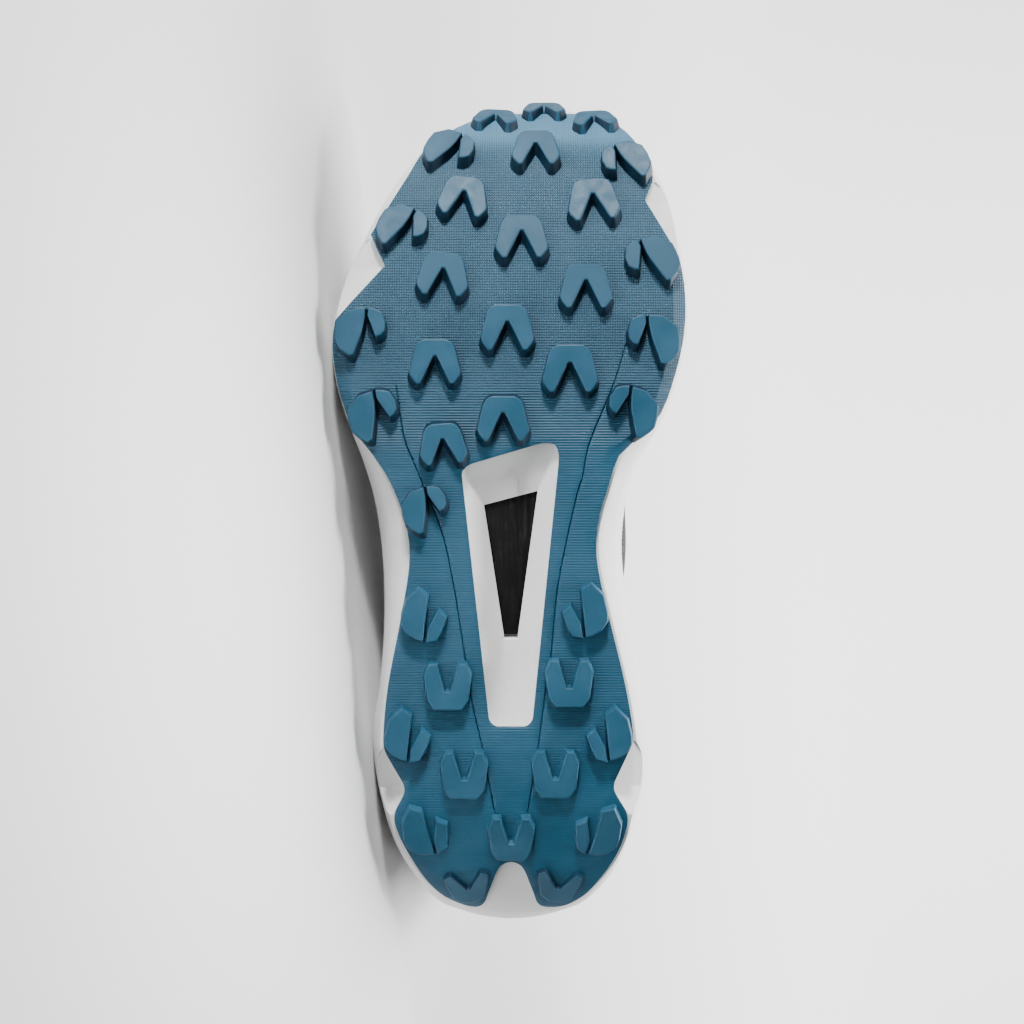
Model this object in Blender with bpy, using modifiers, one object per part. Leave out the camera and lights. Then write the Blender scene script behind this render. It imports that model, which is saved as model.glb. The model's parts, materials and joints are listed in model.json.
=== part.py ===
"""A right trail running shoe, empty, lying on its lateral side with the tread towards -Y.

The shoe is modelled in its own frame: x runs from the heel end to the toe, y towards the medial
side, z up from the ground that the lugs would stand on. At the end every piece is parented to one
empty, which lays the shoe down on the lateral edge of its sole and on its upper.
"""

import math

import bmesh
import bpy
from mathutils import Matrix, Vector

# Driving sizes, in metres
LENGTH = 0.292
BALL_WIDTH = 0.122
FOOTBED_HEIGHT = 0.034
COLLAR_HEIGHT = 0.100
TOE_SPRING = 0.032
TOE_ROLL = 0.014
HEEL_BEVEL = 0.014
HEEL_ROLL = 0.006
SIDE_ROLL = 0.0030
SIDE_ROLL_WIDTH = 0.006
LUG_HEIGHT = 0.0045
LUG_WIDTH = 0.0180
LUG_DRAFT = 0.0004
LUG_FOOT_DRAFT = 0.0010
LUG_ROOT = 0.0010
TOE_LUG_FEET = 0.70
TOE_LUG_TIP = 0.25
RUBBER = 0.0020
FOAM_MARGIN = 0.0010
CUP_DEPTH = 0.0100
RIM_WALL = 0.0034
UPPER_WALL = 0.0020
COLLAR_PAD = 0.0060
ARCH_SWELL = 0.0160
OVERLAY = 0.0010
COUNTER = 0.0011
INSOLE = 0.0045
INSOLE_CLEAR = 0.0009
TONGUE = 0.0040
TONGUE_CLEAR = 0.0013
TONGUE_RISE = 0.0240
TONGUE_LIFT = 0.0060
LACE_RADIUS = 0.0015
LACE_SEAT = 0.0012
LACE_ARCH = 0.0040
EYELET_RADIUS = 0.0022
EYELET_COUNT = 6
INSERT = 0.0015
WINDOW_DEPTH = 0.0065
GAP = 0.0003

# How finely the curved forms are faceted
STATIONS = 32
RIB_ROWS = 8
END_CROWDING = 0.6


def table(names, rows):
    """A short table as one list for each named column."""
    return {name: [row[i] for row in rows] for i, name in enumerate(names.split())}


# Station is a share of LENGTH from the heel; lateral and medial are shares of BALL_WIDTH.
TREAD_EDGE = table("station lateral medial", [
    (0.018, 0.120, 0.150),
    (0.031, 0.188, 0.204),
    (0.051, 0.238, 0.248),
    (0.080, 0.284, 0.296),
    (0.111, 0.322, 0.327),
    (0.160, 0.352, 0.346),
    (0.216, 0.364, 0.352),
    (0.283, 0.352, 0.329),
    (0.359, 0.318, 0.286),
    (0.435, 0.289, 0.246),
    (0.480, 0.299, 0.248),
    (0.530, 0.344, 0.282),
    (0.565, 0.398, 0.314),
    (0.587, 0.440, 0.376),
    (0.610, 0.468, 0.426),
    (0.650, 0.497, 0.464),
    (0.702, 0.510, 0.494),
    (0.755, 0.484, 0.500),
    (0.802, 0.440, 0.483),
    (0.850, 0.371, 0.446),
    (0.898, 0.302, 0.410),
    (0.939, 0.243, 0.372),
    (0.961, 0.176, 0.334),
    (0.977, 0.105, 0.284),
    (0.986, 0.045, 0.240),
])
WIDEST_EDGE = table("station lateral medial", [
    (0.006, 0.125, 0.132),
    (0.018, 0.200, 0.206),
    (0.051, 0.275, 0.284),
    (0.081, 0.320, 0.324),
    (0.120, 0.357, 0.357),
    (0.180, 0.390, 0.390),
    (0.228, 0.399, 0.397),
    (0.285, 0.380, 0.380),
    (0.343, 0.368, 0.354),
    (0.401, 0.366, 0.330),
    (0.458, 0.374, 0.320),
    (0.516, 0.397, 0.336),
    (0.560, 0.430, 0.374),
    (0.600, 0.468, 0.430),
    (0.650, 0.504, 0.477),
    (0.704, 0.517, 0.508),
    (0.763, 0.489, 0.511),
    (0.822, 0.428, 0.489),
    (0.882, 0.354, 0.453),
    (0.930, 0.272, 0.398),
    (0.958, 0.190, 0.340),
    (0.974, 0.110, 0.280),
    (0.980, 0.060, 0.240),
])
RIM_EDGE = table("station lateral medial", [
    (0.014, 0.110, 0.115),
    (0.030, 0.196, 0.202),
    (0.060, 0.258, 0.263),
    (0.110, 0.315, 0.315),
    (0.180, 0.346, 0.342),
    (0.260, 0.342, 0.330),
    (0.340, 0.332, 0.318),
    (0.430, 0.334, 0.304),
    (0.520, 0.364, 0.316),
    (0.600, 0.420, 0.386),
    (0.670, 0.458, 0.446),
    (0.740, 0.455, 0.470),
    (0.810, 0.404, 0.452),
    (0.870, 0.336, 0.416),
    (0.920, 0.258, 0.362),
    (0.948, 0.190, 0.312),
    (0.962, 0.120, 0.258),
    (0.968, 0.060, 0.215),
])
# Footbed is a share of FOOTBED_HEIGHT; cup, the rim above the footbed, is a share of CUP_DEPTH.
FOOTBED = table("station footbed cup", [
    (0.000, 1.04, 1.55),
    (0.060, 1.00, 1.40),
    (0.150, 0.98, 1.15),
    (0.300, 1.02, 1.05),
    (0.450, 0.99, 0.95),
    (0.600, 0.89, 0.75),
    (0.700, 0.84, 0.65),
    (0.790, 0.89, 0.62),
    (0.870, 1.03, 0.68),
    (0.930, 1.18, 0.75),
    (0.975, 1.30, 0.85),
])
# One row for each rib of the upper, from the heel seam (0) round to the toe (1). The rib's top edge
# is at station and offset (shares of LENGTH and BALL_WIDTH) and at height (a share of COLLAR_HEIGHT).
# Belly is a share of BALL_WIDTH, rise and drop of COLLAR_HEIGHT, and lean of the rib's own reach.
RIBS = table("way station offset height belly rise lean drop", [
    (0.00, 0.036, 0.000, 1.030, 0.030, 0.260, 0.05, 0.200),
    (0.06, 0.044, 0.135, 1.010, 0.030, 0.260, 0.05, 0.200),
    (0.12, 0.080, 0.225, 0.945, 0.030, 0.240, 0.10, 0.200),
    (0.20, 0.140, 0.270, 0.865, 0.026, 0.200, 0.15, 0.180),
    (0.28, 0.210, 0.282, 0.835, 0.026, 0.180, 0.20, 0.160),
    (0.36, 0.285, 0.262, 0.880, 0.030, 0.180, 0.30, 0.140),
    (0.43, 0.345, 0.205, 0.985, 0.036, 0.200, 0.42, 0.110),
    (0.49, 0.385, 0.150, 1.065, 0.042, 0.240, 0.50, 0.090),
    (0.57, 0.447, 0.132, 0.975, 0.042, 0.230, 0.52, 0.070),
    (0.66, 0.520, 0.120, 0.862, 0.040, 0.210, 0.54, 0.050),
    (0.75, 0.590, 0.108, 0.765, 0.034, 0.190, 0.54, 0.030),
    (0.84, 0.645, 0.086, 0.700, 0.028, 0.175, 0.52, 0.010),
    (0.92, 0.677, 0.050, 0.668, 0.024, 0.165, 0.48, 0.000),
    (1.00, 0.687, 0.000, 0.660, 0.022, 0.160, 0.45, 0.000),
])
# Where the rubber is notched at its edge and the foam behind is scooped: start and end lie on the
# edge, and the tip is this far from the axis. Rise is the scoop's height up the foam's side.
NOTCHES = table("side start tip end reach rise", [
    (-1, 0.724, 0.790, 0.828, 0.360, 0.013),
    (+1, 0.802, 0.871, 0.897, 0.386, 0.012),
    (-1, 0.132, 0.164, 0.212, 0.297, 0.014),
    (+1, 0.132, 0.166, 0.222, 0.288, 0.014),
])
HEEL_GATE = table("station offset", [(0.000, 0.100), (0.031, 0.070), (0.068, 0.038), (0.076, 0.022)])
WINDOW = table("station offset", [
    (0.246, -0.062), (0.239, -0.046), (0.239, 0.046), (0.246, 0.062),
    (0.562, 0.138), (0.576, 0.128), (0.577, 0.090), (0.551, -0.120), (0.543, -0.141),
])
INSERT_VIEW = table("station offset", [(0.347, -0.020), (0.347, 0.020), (0.520, 0.077), (0.503, -0.077)])
WINDOW_RAMP = table("station offset", [(0.252, -0.030), (0.252, 0.030)])
RAMP_END_DEPTH = 0.0022

# A lug's outline in halves of its width, feet down. Centre lugs are one chevron; edge lugs are split
# into a long outer leg and a short inner one by a slit. Those of the heel half are longer and blunter.
CHEVRON = [
    (0.50, 0.80), (-0.50, 0.80), (-0.74, 0.60), (-1.00, -0.38), (-0.66, -0.80),
    (-0.09, 0.22), (0.09, 0.22), (0.66, -0.80), (1.00, -0.38), (0.74, 0.60),
]
OUTER_LEG = [
    (-0.62, 0.82), (-0.98, 0.38), (-1.00, -0.28), (-0.58, -0.86), (-0.22, -0.84),
    (0.02, -0.06), (0.10, 0.90),
]
INNER_LEG = [(0.27, 0.90), (0.25, 0.42), (0.48, -0.36), (0.82, -0.36), (0.98, 0.10), (0.70, 0.74)]
HEEL_CHEVRON = [
    (0.57, 0.98), (-0.57, 0.98), (-0.83, 0.63), (-1.00, -0.48), (-0.72, -0.94), (-0.36, -0.94),
    (-0.15, 0.20), (0.15, 0.20), (0.36, -0.94), (0.72, -0.94), (1.00, -0.48), (0.83, 0.63),
]
HEEL_OUTER_LEG = [
    (-0.26, -1.16), (0.14, -0.86), (-0.03, 1.10), (-0.34, 1.05), (-0.75, 0.82), (-1.00, 0.43),
    (-1.00, 0.06), (-0.82, -0.66),
]
HEEL_INNER_LEG = [
    (0.61, -0.27), (0.98, 0.08), (0.76, 0.70), (0.52, 1.03), (0.15, 1.14), (0.21, 0.54), (0.36, 0.30),
]
LUG_OUTLINES = {
    "toe": [CHEVRON],
    "centre": [CHEVRON],
    "edge": [OUTER_LEG, INNER_LEG],
    "heel": [HEEL_CHEVRON],
    "heel_edge": [HEEL_OUTER_LEG, HEEL_INNER_LEG],
}
# Width is a share of LUG_WIDTH; heading is 0 where the feet point to the heel and turns to lateral.
LUGS = table("kind station offset width heading", [
    ("toe", 0.974, -0.045, 0.88, 6),
    ("toe", 0.985, 0.098, 0.84, 0),
    ("toe", 0.972, 0.245, 0.88, -6),
    ("centre", 0.933, 0.072, 0.94, 0),
    ("centre", 0.873, -0.136, 0.97, 8),
    ("centre", 0.870, 0.237, 1.02, -5),
    ("centre", 0.824, 0.031, 1.03, 0),
    ("centre", 0.779, -0.194, 1.00, 4),
    ("centre", 0.765, 0.214, 1.02, 0),
    ("centre", 0.716, -0.010, 1.03, 0),
    ("centre", 0.677, -0.216, 0.99, 0),
    ("centre", 0.668, 0.168, 1.06, 0),
    ("centre", 0.609, -0.022, 1.01, 0),
    ("centre", 0.580, -0.193, 0.92, -5),
    ("edge", 0.927, -0.180, 0.92, 26),
    ("edge", 0.836, -0.312, 0.93, 22),
    ("edge", 0.714, -0.426, 0.94, 0),
    ("edge", 0.610, -0.389, 0.94, -14),
    ("edge", 0.501, -0.244, 0.88, -14),
    ("edge", 0.912, 0.334, 0.90, -22),
    ("edge", 0.799, 0.402, 0.97, -16),
    ("edge", 0.705, 0.404, 0.97, 0),
    ("edge", 0.613, 0.344, 0.94, 12),
    ("heel_edge", 0.371, -0.246, 0.88, 180),
    ("heel_edge", 0.377, 0.210, 0.89, 180),
    ("heel", 0.290, -0.180, 0.92, 180),
    ("heel", 0.294, 0.166, 0.93, 180),
    ("heel_edge", 0.229, -0.293, 0.88, 180),
    ("heel_edge", 0.230, 0.279, 0.88, 180),
    ("heel", 0.184, -0.133, 0.92, 180),
    ("heel", 0.185, 0.127, 0.92, 180),
    ("heel_edge", 0.116, -0.243, 0.90, 158),
    ("heel_edge", 0.116, 0.248, 0.90, 202),
    ("heel", 0.106, 0.001, 0.90, 180),
    ("centre", 0.046, -0.124, 0.86, 172),
    ("centre", 0.048, 0.136, 0.86, 188),
])


def smooth(rows, name, at, key="station"):
    """A smooth curve through one column of a table, read at one value of its first column."""
    xs, ys = rows[key], rows[name]
    at = min(max(at, xs[0]), xs[-1])
    i = max(k for k in range(len(xs) - 1) if xs[k] <= at)
    lean = [
        (ys[min(k + 1, len(xs) - 1)] - ys[max(k - 1, 0)]) / (xs[min(k + 1, len(xs) - 1)] - xs[max(k - 1, 0)])
        for k in (i, i + 1)
    ]
    step = xs[i + 1] - xs[i]
    w = (at - xs[i]) / step
    return (
        ys[i] * (1 + 2 * w) * (1 - w) ** 2
        + ys[i + 1] * w * w * (3 - 2 * w)
        + step * (lean[0] * w * (1 - w) ** 2 - lean[1] * w * w * (1 - w))
    )


def blend(a, b, share):
    return a + (b - a) * share


def sole_height(x, y):
    """Height of the rubber's face above the ground: lugs, toe spring, heel bevel and rolled edges."""
    t = x / LENGTH
    height = LUG_HEIGHT
    height += TOE_SPRING * max(0.0, (t - 0.62) / 0.38) ** 2.1
    height += TOE_ROLL * max(0.0, (t - 0.88) / 0.115) ** 3
    height += HEEL_BEVEL * max(0.0, (0.20 - t) / 0.20) ** 2.2
    height += HEEL_ROLL * max(0.0, (0.07 - t) / 0.07) ** 2
    edge = smooth(TREAD_EDGE, "medial" if y > 0 else "lateral", t) * BALL_WIDTH
    ball = max(0.0, 1 - abs(t - 0.70) / 0.17)
    inside = (edge - abs(y)) / SIDE_ROLL_WIDTH
    return height + SIDE_ROLL * min(1.0, 2 * ball) * max(0.0, 1 - inside) ** 2


def on_sole(x, y, out):
    """The point that lies this far out from the rubber's face, which is towards the ground."""
    step = 0.0005
    dx = (sole_height(x + step, y) - sole_height(x - step, y)) / (2 * step)
    dy = (sole_height(x, y + step) - sole_height(x, y - step)) / (2 * step)
    return Vector((x, y, sole_height(x, y))) + Vector((dx, dy, -1)).normalized() * out


def footbed_height(x):
    return smooth(FOOTBED, "footbed", x / LENGTH) * FOOTBED_HEIGHT


def rim_height(x):
    return footbed_height(x) + smooth(FOOTBED, "cup", x / LENGTH) * CUP_DEPTH


def plan(edge, along, across, inset=0.0):
    """A point of a plan outline: along runs 0 to 1 from heel to toe, across 0 to 1 to medial."""
    first, last = edge["station"][0], edge["station"][-1]
    t = blend(first, last, along)
    x = blend(first * LENGTH + inset, last * LENGTH - inset, along)
    lateral = -smooth(edge, "lateral", t) * BALL_WIDTH + inset
    medial = smooth(edge, "medial", t) * BALL_WIDTH - inset
    bow = blend(0.0025, 0.0040, along) * (1 - (2 * across - 1) ** 2)
    x += bow * (max(0.0, along - 0.95) - max(0.0, 0.05 - along)) / 0.05
    return x, blend(lateral, medial, across)


def crowded(count):
    """Shares from 0 to 1, closer together at both ends."""
    even = [i / (count - 1) for i in range(count)]
    return [u - END_CROWDING * math.sin(2 * math.pi * u) / (2 * math.pi) for u in even]


ALONG = crowded(STATIONS)
ACROSS_SHARES = [0.0, 0.055, 0.25, 0.5, 0.75, 0.945, 1.0]
ACROSS = len(ACROSS_SHARES) - 1
# The loop round a grid: lateral side to the toe, across the toe, and back along the medial side
LOOP = (
    [(i, 0) for i in range(STATIONS)]
    + [(STATIONS - 1, k) for k in range(1, ACROSS)]
    + [(i, ACROSS) for i in reversed(range(STATIONS))]
    + [(0, k) for k in reversed(range(1, ACROSS))]
)


class Skin:
    """Gathers the points and faces of one mesh."""

    def __init__(self):
        self.points = []
        self.faces = []

    def point(self, p):
        self.points.append(tuple(p))
        return len(self.points) - 1

    def grid(self, rows):
        """Adds points by rows and the triangles between them; returns the points' numbers."""
        numbers = [[self.point(p) for p in row] for row in rows]
        for low, high in zip(numbers, numbers[1:]):
            for k in range(len(low) - 1):
                self.faces.append((low[k], high[k], high[k + 1]))
                self.faces.append((low[k], high[k + 1], low[k + 1]))
        return numbers

    def strip(self, low, high, closed=True):
        """Joins two lines of points with faces."""
        count = len(low)
        for j in range(count if closed else count - 1):
            k = (j + 1) % count
            self.faces.append((low[j], low[k], high[k], high[j]))

    def build(self, name, solid=True):
        mesh = bpy.data.meshes.new(name)
        mesh.from_pydata(self.points, [], self.faces)
        work = bmesh.new()
        work.from_mesh(mesh)
        if solid:
            bmesh.ops.triangulate(work, faces=work.faces)
            bmesh.ops.recalc_face_normals(work, faces=work.faces)
        work.to_mesh(mesh)
        work.free()
        return bpy.data.objects.new(name, mesh)


def loop_of(numbers):
    return [numbers[i][k] for i, k in LOOP]


def hull(name, points):
    """The convex solid round some points."""
    work = bmesh.new()
    for p in points:
        work.verts.new(p)
    done = bmesh.ops.convex_hull(work, input=work.verts)
    spare = [g for g in done["geom_interior"] + done["geom_unused"] if isinstance(g, bmesh.types.BMVert)]
    bmesh.ops.delete(work, geom=list(set(spare)), context="VERTS")
    bmesh.ops.recalc_face_normals(work, faces=work.faces)
    mesh = bpy.data.meshes.new(name)
    work.to_mesh(mesh)
    work.free()
    return bpy.data.objects.new(name, mesh)


def prism(name, outline, low, high):
    """A flat outline in plan raised from one height to another."""
    work = bmesh.new()
    face = work.faces.new([work.verts.new((x, y, low)) for x, y in outline])
    top = bmesh.ops.extrude_face_region(work, geom=[face])["geom"]
    raised = [g for g in top if isinstance(g, bmesh.types.BMVert)]
    bmesh.ops.translate(work, verts=raised, vec=(0, 0, high - low))
    bmesh.ops.recalc_face_normals(work, faces=work.faces)
    mesh = bpy.data.meshes.new(name)
    work.to_mesh(mesh)
    work.free()
    return bpy.data.objects.new(name, mesh)


def joined(name, objects):
    """Several meshes as one object."""
    work = bmesh.new()
    for piece in objects:
        work.from_mesh(piece.data)
        bpy.data.objects.remove(piece)
    mesh = bpy.data.meshes.new(name)
    work.to_mesh(mesh)
    work.free()
    return bpy.data.objects.new(name, mesh)


def collection(name):
    group = bpy.data.collections.new(name)
    bpy.context.scene.collection.children.link(group)
    return group


def clear_scene():
    for item in list(bpy.data.objects):
        bpy.data.objects.remove(item)


clear_scene()
SHOE = collection("trail_running_shoe")
CUTTERS = collection("cutters")


def finish(piece, colour, roughness, metallic=0.0):
    """Puts a piece in the shoe with its own material."""
    material = bpy.data.materials.new(piece.name)
    material.use_nodes = True
    shader = material.node_tree.nodes["Principled BSDF"]
    shader.inputs["Base Color"].default_value = (*colour, 1.0)
    shader.inputs["Roughness"].default_value = roughness
    shader.inputs["Metallic"].default_value = metallic
    piece.data.materials.append(material)
    SHOE.objects.link(piece)
    piece.data.shade_smooth()
    piece.data.set_sharp_from_angle(angle=math.radians(35))
    return piece


def boolean(piece, operation, other):
    """Cuts, crosses or joins a piece with another, which is kept as a guide."""
    CUTTERS.objects.link(other)
    other.hide_render = True
    other.display_type = "WIRE"
    step = piece.modifiers.new(operation.lower(), "BOOLEAN")
    step.operation = operation
    step.solver = "EXACT"
    step.use_self = operation == "UNION"
    step.object = other


def offset_outline(outline, distance_of):
    """Moves each side of an outline out by the distance that its outward direction calls for."""
    count = len(outline)
    turning = sum(
        outline[i][0] * outline[(i + 1) % count][1] - outline[(i + 1) % count][0] * outline[i][1]
        for i in range(count)
    )
    sides = []
    for i in range(count):
        (ax, ay), (bx, by) = outline[i], outline[(i + 1) % count]
        long = math.hypot(bx - ax, by - ay)
        nx, ny = (by - ay) / long, (ax - bx) / long
        if turning < 0:
            nx, ny = -nx, -ny
        sides.append((nx, ny, nx * ax + ny * ay + distance_of(nx, ny)))
    moved = []
    for i in range(count):
        (a, b, c), (d, e, f) = sides[i - 1], sides[i]
        size = a * e - b * d
        moved.append(((c * e - b * f) / size, (a * f - c * d) / size))
    return moved


def lug_rise(kind, py):
    """A lug's height at one point of its outline: toe lugs sink into the rubber towards their tips."""
    if kind != "toe":
        return LUG_HEIGHT
    return LUG_HEIGHT * blend(TOE_LUG_FEET, TOE_LUG_TIP, (py + 0.8) / 1.6)


def lug(kind, outline, x, y, half_width, heading):
    """One leg or chevron, with its pad raised and its drafted foot rooted in the rubber."""
    turn = math.radians(heading)
    slope = (sole_height(x + 0.001, y) - sole_height(x - 0.001, y)) / 0.002
    shorten = 1 / math.hypot(1, slope)

    def placed(points, rises):
        spots = []
        for (px, py), rise in zip(points, rises):
            side = px * math.cos(turn) + py * math.sin(turn)
            ahead = (py * math.cos(turn) - px * math.sin(turn)) * shorten
            spots.append(on_sole(x + ahead, y + side, rise))
        return spots

    pad = [(px * half_width, py * half_width) for px, py in outline]
    foot = offset_outline(pad, lambda nx, ny: LUG_DRAFT + LUG_FOOT_DRAFT * max(0.0, -ny))
    skin = Skin()
    top = [skin.point(p) for p in placed(pad, [lug_rise(kind, py) for _, py in outline])]
    bottom = [skin.point(p) for p in placed(foot, [-LUG_ROOT] * len(foot))]
    skin.strip(bottom, top)
    skin.faces.append(tuple(top))
    skin.faces.append(tuple(reversed(bottom)))
    return skin.build("lug")


def lugs(kinds):
    """All the lugs of some kinds as one mesh of separate blocks."""
    made = []
    for kind, t, offset, width, heading in zip(*LUGS.values()):
        if kind not in kinds:
            continue
        outer = math.copysign(1, -offset) * math.copysign(1, math.cos(math.radians(heading)))
        for outline in LUG_OUTLINES[kind]:
            outline = [(px * outer, py) for px, py in outline]
            made.append(lug(kind, outline, t * LENGTH, offset * BALL_WIDTH, width * LUG_WIDTH / 2, heading))
    return joined("_".join(kinds) + "_lugs", made)


def in_metres(rows):
    return [(t * LENGTH, offset * BALL_WIDTH) for t, offset in zip(rows["station"], rows["offset"])]


def tread_side(side, count):
    """One side of the rubber's outline, from heel to toe, with its notches."""
    name = "medial" if side > 0 else "lateral"
    first, last = TREAD_EDGE["station"][0], TREAD_EDGE["station"][-1]
    stations = [blend(first, last, u) for u in crowded(count)]
    notches = [row for row in zip(*NOTCHES.values()) if row[0] == side]
    points = []
    for t in stations:
        if not any(start - 0.006 < t < end + 0.006 for _, start, _, end, _, _ in notches):
            points.append((t, smooth(TREAD_EDGE, name, t)))
    for _, start, tip, end, reach, _ in notches:
        points += [(start, smooth(TREAD_EDGE, name, start)), (tip, reach)]
        points += [(end, smooth(TREAD_EDGE, name, end))]
    return [(t * LENGTH, side * offset * BALL_WIDTH) for t, offset in sorted(points)]


def gate_outline():
    """The gap in the rubber at the heel's end."""
    side = in_metres(HEEL_GATE)
    return [(x, -y) for x, y in side] + list(reversed(side))


def sheet_grid(out):
    """The rubber's face, or a surface parallel to it, reaching past the tread's outline."""
    past = 0.0040
    rows = []
    for i, u in enumerate(ALONG):
        row = [plan(TREAD_EDGE, u, share, -FOAM_MARGIN) for share in ACROSS_SHARES]
        row = [(row[0][0], row[0][1] - past)] + row + [(row[-1][0], row[-1][1] + past)]
        rows.append(row)
    rows = [[(x - past, y) for x, y in rows[0]]] + rows + [[(x + past, y) for x, y in rows[-1]]]
    return [[on_sole(x, y, out) for x, y in row] for row in rows]


def make_outsole():
    skin = Skin()
    face = skin.grid(sheet_grid(0.0))
    back = skin.grid(sheet_grid(-RUBBER))
    corners = [(0, 0), (len(face) - 1, 0), (len(face) - 1, len(face[0]) - 1), (0, len(face[0]) - 1)]
    for (i, k), (m, n) in zip(corners, corners[1:] + corners[:1]):
        steps = max(abs(m - i), abs(n - k))
        line = [(i + (m - i) * s // steps, k + (n - k) * s // steps) for s in range(steps + 1)]
        skin.strip([face[a][b] for a, b in line], [back[a][b] for a, b in line], closed=False)
    outsole = skin.build("outsole")
    boolean(outsole, "UNION", lugs(("centre", "edge", "heel", "heel_edge")))
    outline = tread_side(-1, 44) + list(reversed(tread_side(1, 44)))
    floor, ceiling = -0.02, COLLAR_HEIGHT
    boolean(outsole, "INTERSECT", prism("tread_outline", outline, floor, ceiling))
    openings = [prism("heel_gate", gate_outline(), floor, ceiling)]
    openings.append(prism("sole_window", in_metres(WINDOW), floor, ceiling))
    boolean(outsole, "DIFFERENCE", joined("tread_openings", openings))
    boolean(outsole, "UNION", lugs(("toe",)))
    return finish(outsole, (0.030, 0.150, 0.215), 0.50)


def bottom_point(along, across):
    x, y = plan(TREAD_EDGE, along, across, -FOAM_MARGIN)
    return on_sole(x, y, -RUBBER - GAP)


def side_point(along, across, share, width):
    """A point up the foam's side: share of the height, and share of the way out to the widest edge."""
    low = bottom_point(along, across)
    rim_x, rim_y = plan(RIM_EDGE, along, across)
    wide_x, wide_y = plan(WIDEST_EDGE, along, across)
    if share < 0.5:
        x, y = blend(low.x, wide_x, width), blend(low.y, wide_y, width)
    else:
        x, y = blend(rim_x, wide_x, width), blend(rim_y, wide_y, width)
    return Vector((x, y, blend(low.z, rim_height(rim_x), share)))


def scoop(side, start, tip, end, reach, rise):
    """The faceted hollow behind one notch of the rubber, as a cutter."""
    name = "medial" if side > 0 else "lateral"
    spots = [(t, smooth(TREAD_EDGE, name, t)) for t in (start, end)] + [(tip, reach)]
    corners = []
    for t, offset in spots:
        x, y = t * LENGTH, side * offset * BALL_WIDTH
        corners += [on_sole(x, y, -RUBBER - GAP), on_sole(x, y, 0.004)]
    past = side * (smooth(WIDEST_EDGE, name, tip) * BALL_WIDTH + 0.006)
    for t in (start, end):
        x = t * LENGTH
        corners.append(Vector((x, past, on_sole(x, corners[0].y, 0.004).z)))
    x = tip * LENGTH
    corners.append(Vector((x, past, on_sole(x, side * reach * BALL_WIDTH, 0).z + rise)))
    return hull("scoop", corners)


def window_cutter():
    """The bevelled recess under the arch: wide at the rubber, and narrow at the insert."""
    mouth = [on_sole(x, y, 0.001) for x, y in in_metres(WINDOW)]
    depth = -RUBBER - WINDOW_DEPTH
    throat = [on_sole(x, y, depth) for x, y in in_metres(INSERT_VIEW)]
    ramp = [on_sole(x, y, -RUBBER - RAMP_END_DEPTH) for x, y in in_metres(WINDOW_RAMP)]
    return hull("window_recess", mouth + throat + ramp)


def insert_outline(margin):
    return offset_outline(in_metres(INSERT_VIEW), lambda nx, ny: margin)


def insert_level():
    """Height of the insert's lower face."""
    middle = sum(INSERT_VIEW["station"]) / 4 * LENGTH
    return sole_height(middle, 0.0) + RUBBER + WINDOW_DEPTH + 0.0012


def make_midsole():
    skin = Skin()
    low = skin.grid([[bottom_point(u, f) for f in ACROSS_SHARES] for u in ALONG])
    rings = [loop_of(low)]
    levels = [(0.16, 0.62), (0.40, 1.0), (0.47, 1.0), (0.53, 0.86), (0.80, 0.42), (0.97, 0.04)]
    for share, width in levels:
        rings.append([
            skin.point(side_point(ALONG[i], ACROSS_SHARES[k], share, width)) for i, k in LOOP
        ])
    inner = [plan(RIM_EDGE, ALONG[i], ACROSS_SHARES[k], 0.0008) for i, k in LOOP]
    rings.append([skin.point((x, y, rim_height(x))) for x, y in inner])
    cup = [plan(RIM_EDGE, ALONG[i], ACROSS_SHARES[k], RIM_WALL) for i, k in LOOP]
    rings.append([skin.point((x, y, rim_height(x))) for x, y in cup])
    bed = [[plan(RIM_EDGE, u, f, RIM_WALL) for f in ACROSS_SHARES] for u in ALONG]
    bed = skin.grid([[(x, y, footbed_height(x)) for x, y in row] for row in bed])
    rings.append(loop_of(bed))
    for below, above in zip(rings, rings[1:]):
        skin.strip(below, above)
    midsole = skin.build("midsole")
    cuts = [scoop(*row) for row in zip(*NOTCHES.values())]
    boolean(midsole, "DIFFERENCE", joined("side_scoops", cuts))
    boolean(midsole, "DIFFERENCE", window_cutter())
    level = insert_level()
    neck = prism("insert_neck", in_metres(INSERT_VIEW), level - 0.004, level + 0.0002)
    boolean(midsole, "DIFFERENCE", neck)
    pocket = prism("insert_pocket", insert_outline(0.004), level - GAP, level + INSERT + GAP)
    boolean(midsole, "DIFFERENCE", pocket)
    return finish(midsole, (0.78, 0.78, 0.77), 0.62)


def make_insert():
    level = insert_level()
    plate = prism("arch_insert", insert_outline(0.004 - GAP), level, level + INSERT)
    return finish(plate, (0.020, 0.020, 0.022), 0.45)


def make_insole():
    inset = RIM_WALL + GAP + UPPER_WALL + INSOLE_CLEAR
    skin = Skin()
    grids = []
    for lift in (GAP, INSOLE):
        rows = [[plan(RIM_EDGE, u, f, inset) for f in ACROSS_SHARES[::2]] for u in ALONG]
        grids.append(skin.grid([[(x, y, footbed_height(x) + lift) for x, y in row] for row in rows]))
    for low, high in zip(zip(*grids[0]), zip(*grids[1])):
        if low[0] in (grids[0][0][0], grids[0][0][-1]):
            skin.strip(low, high, closed=False)
    for row in (0, -1):
        skin.strip(grids[0][row], grids[1][row], closed=False)
    return finish(skin.build("insole"), (0.05, 0.05, 0.055), 0.85)


def seat(i, k):
    """Where the upper stands in the foam's cup."""
    return plan(RIM_EDGE, ALONG[i], ACROSS_SHARES[k], RIM_WALL + GAP)


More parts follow.
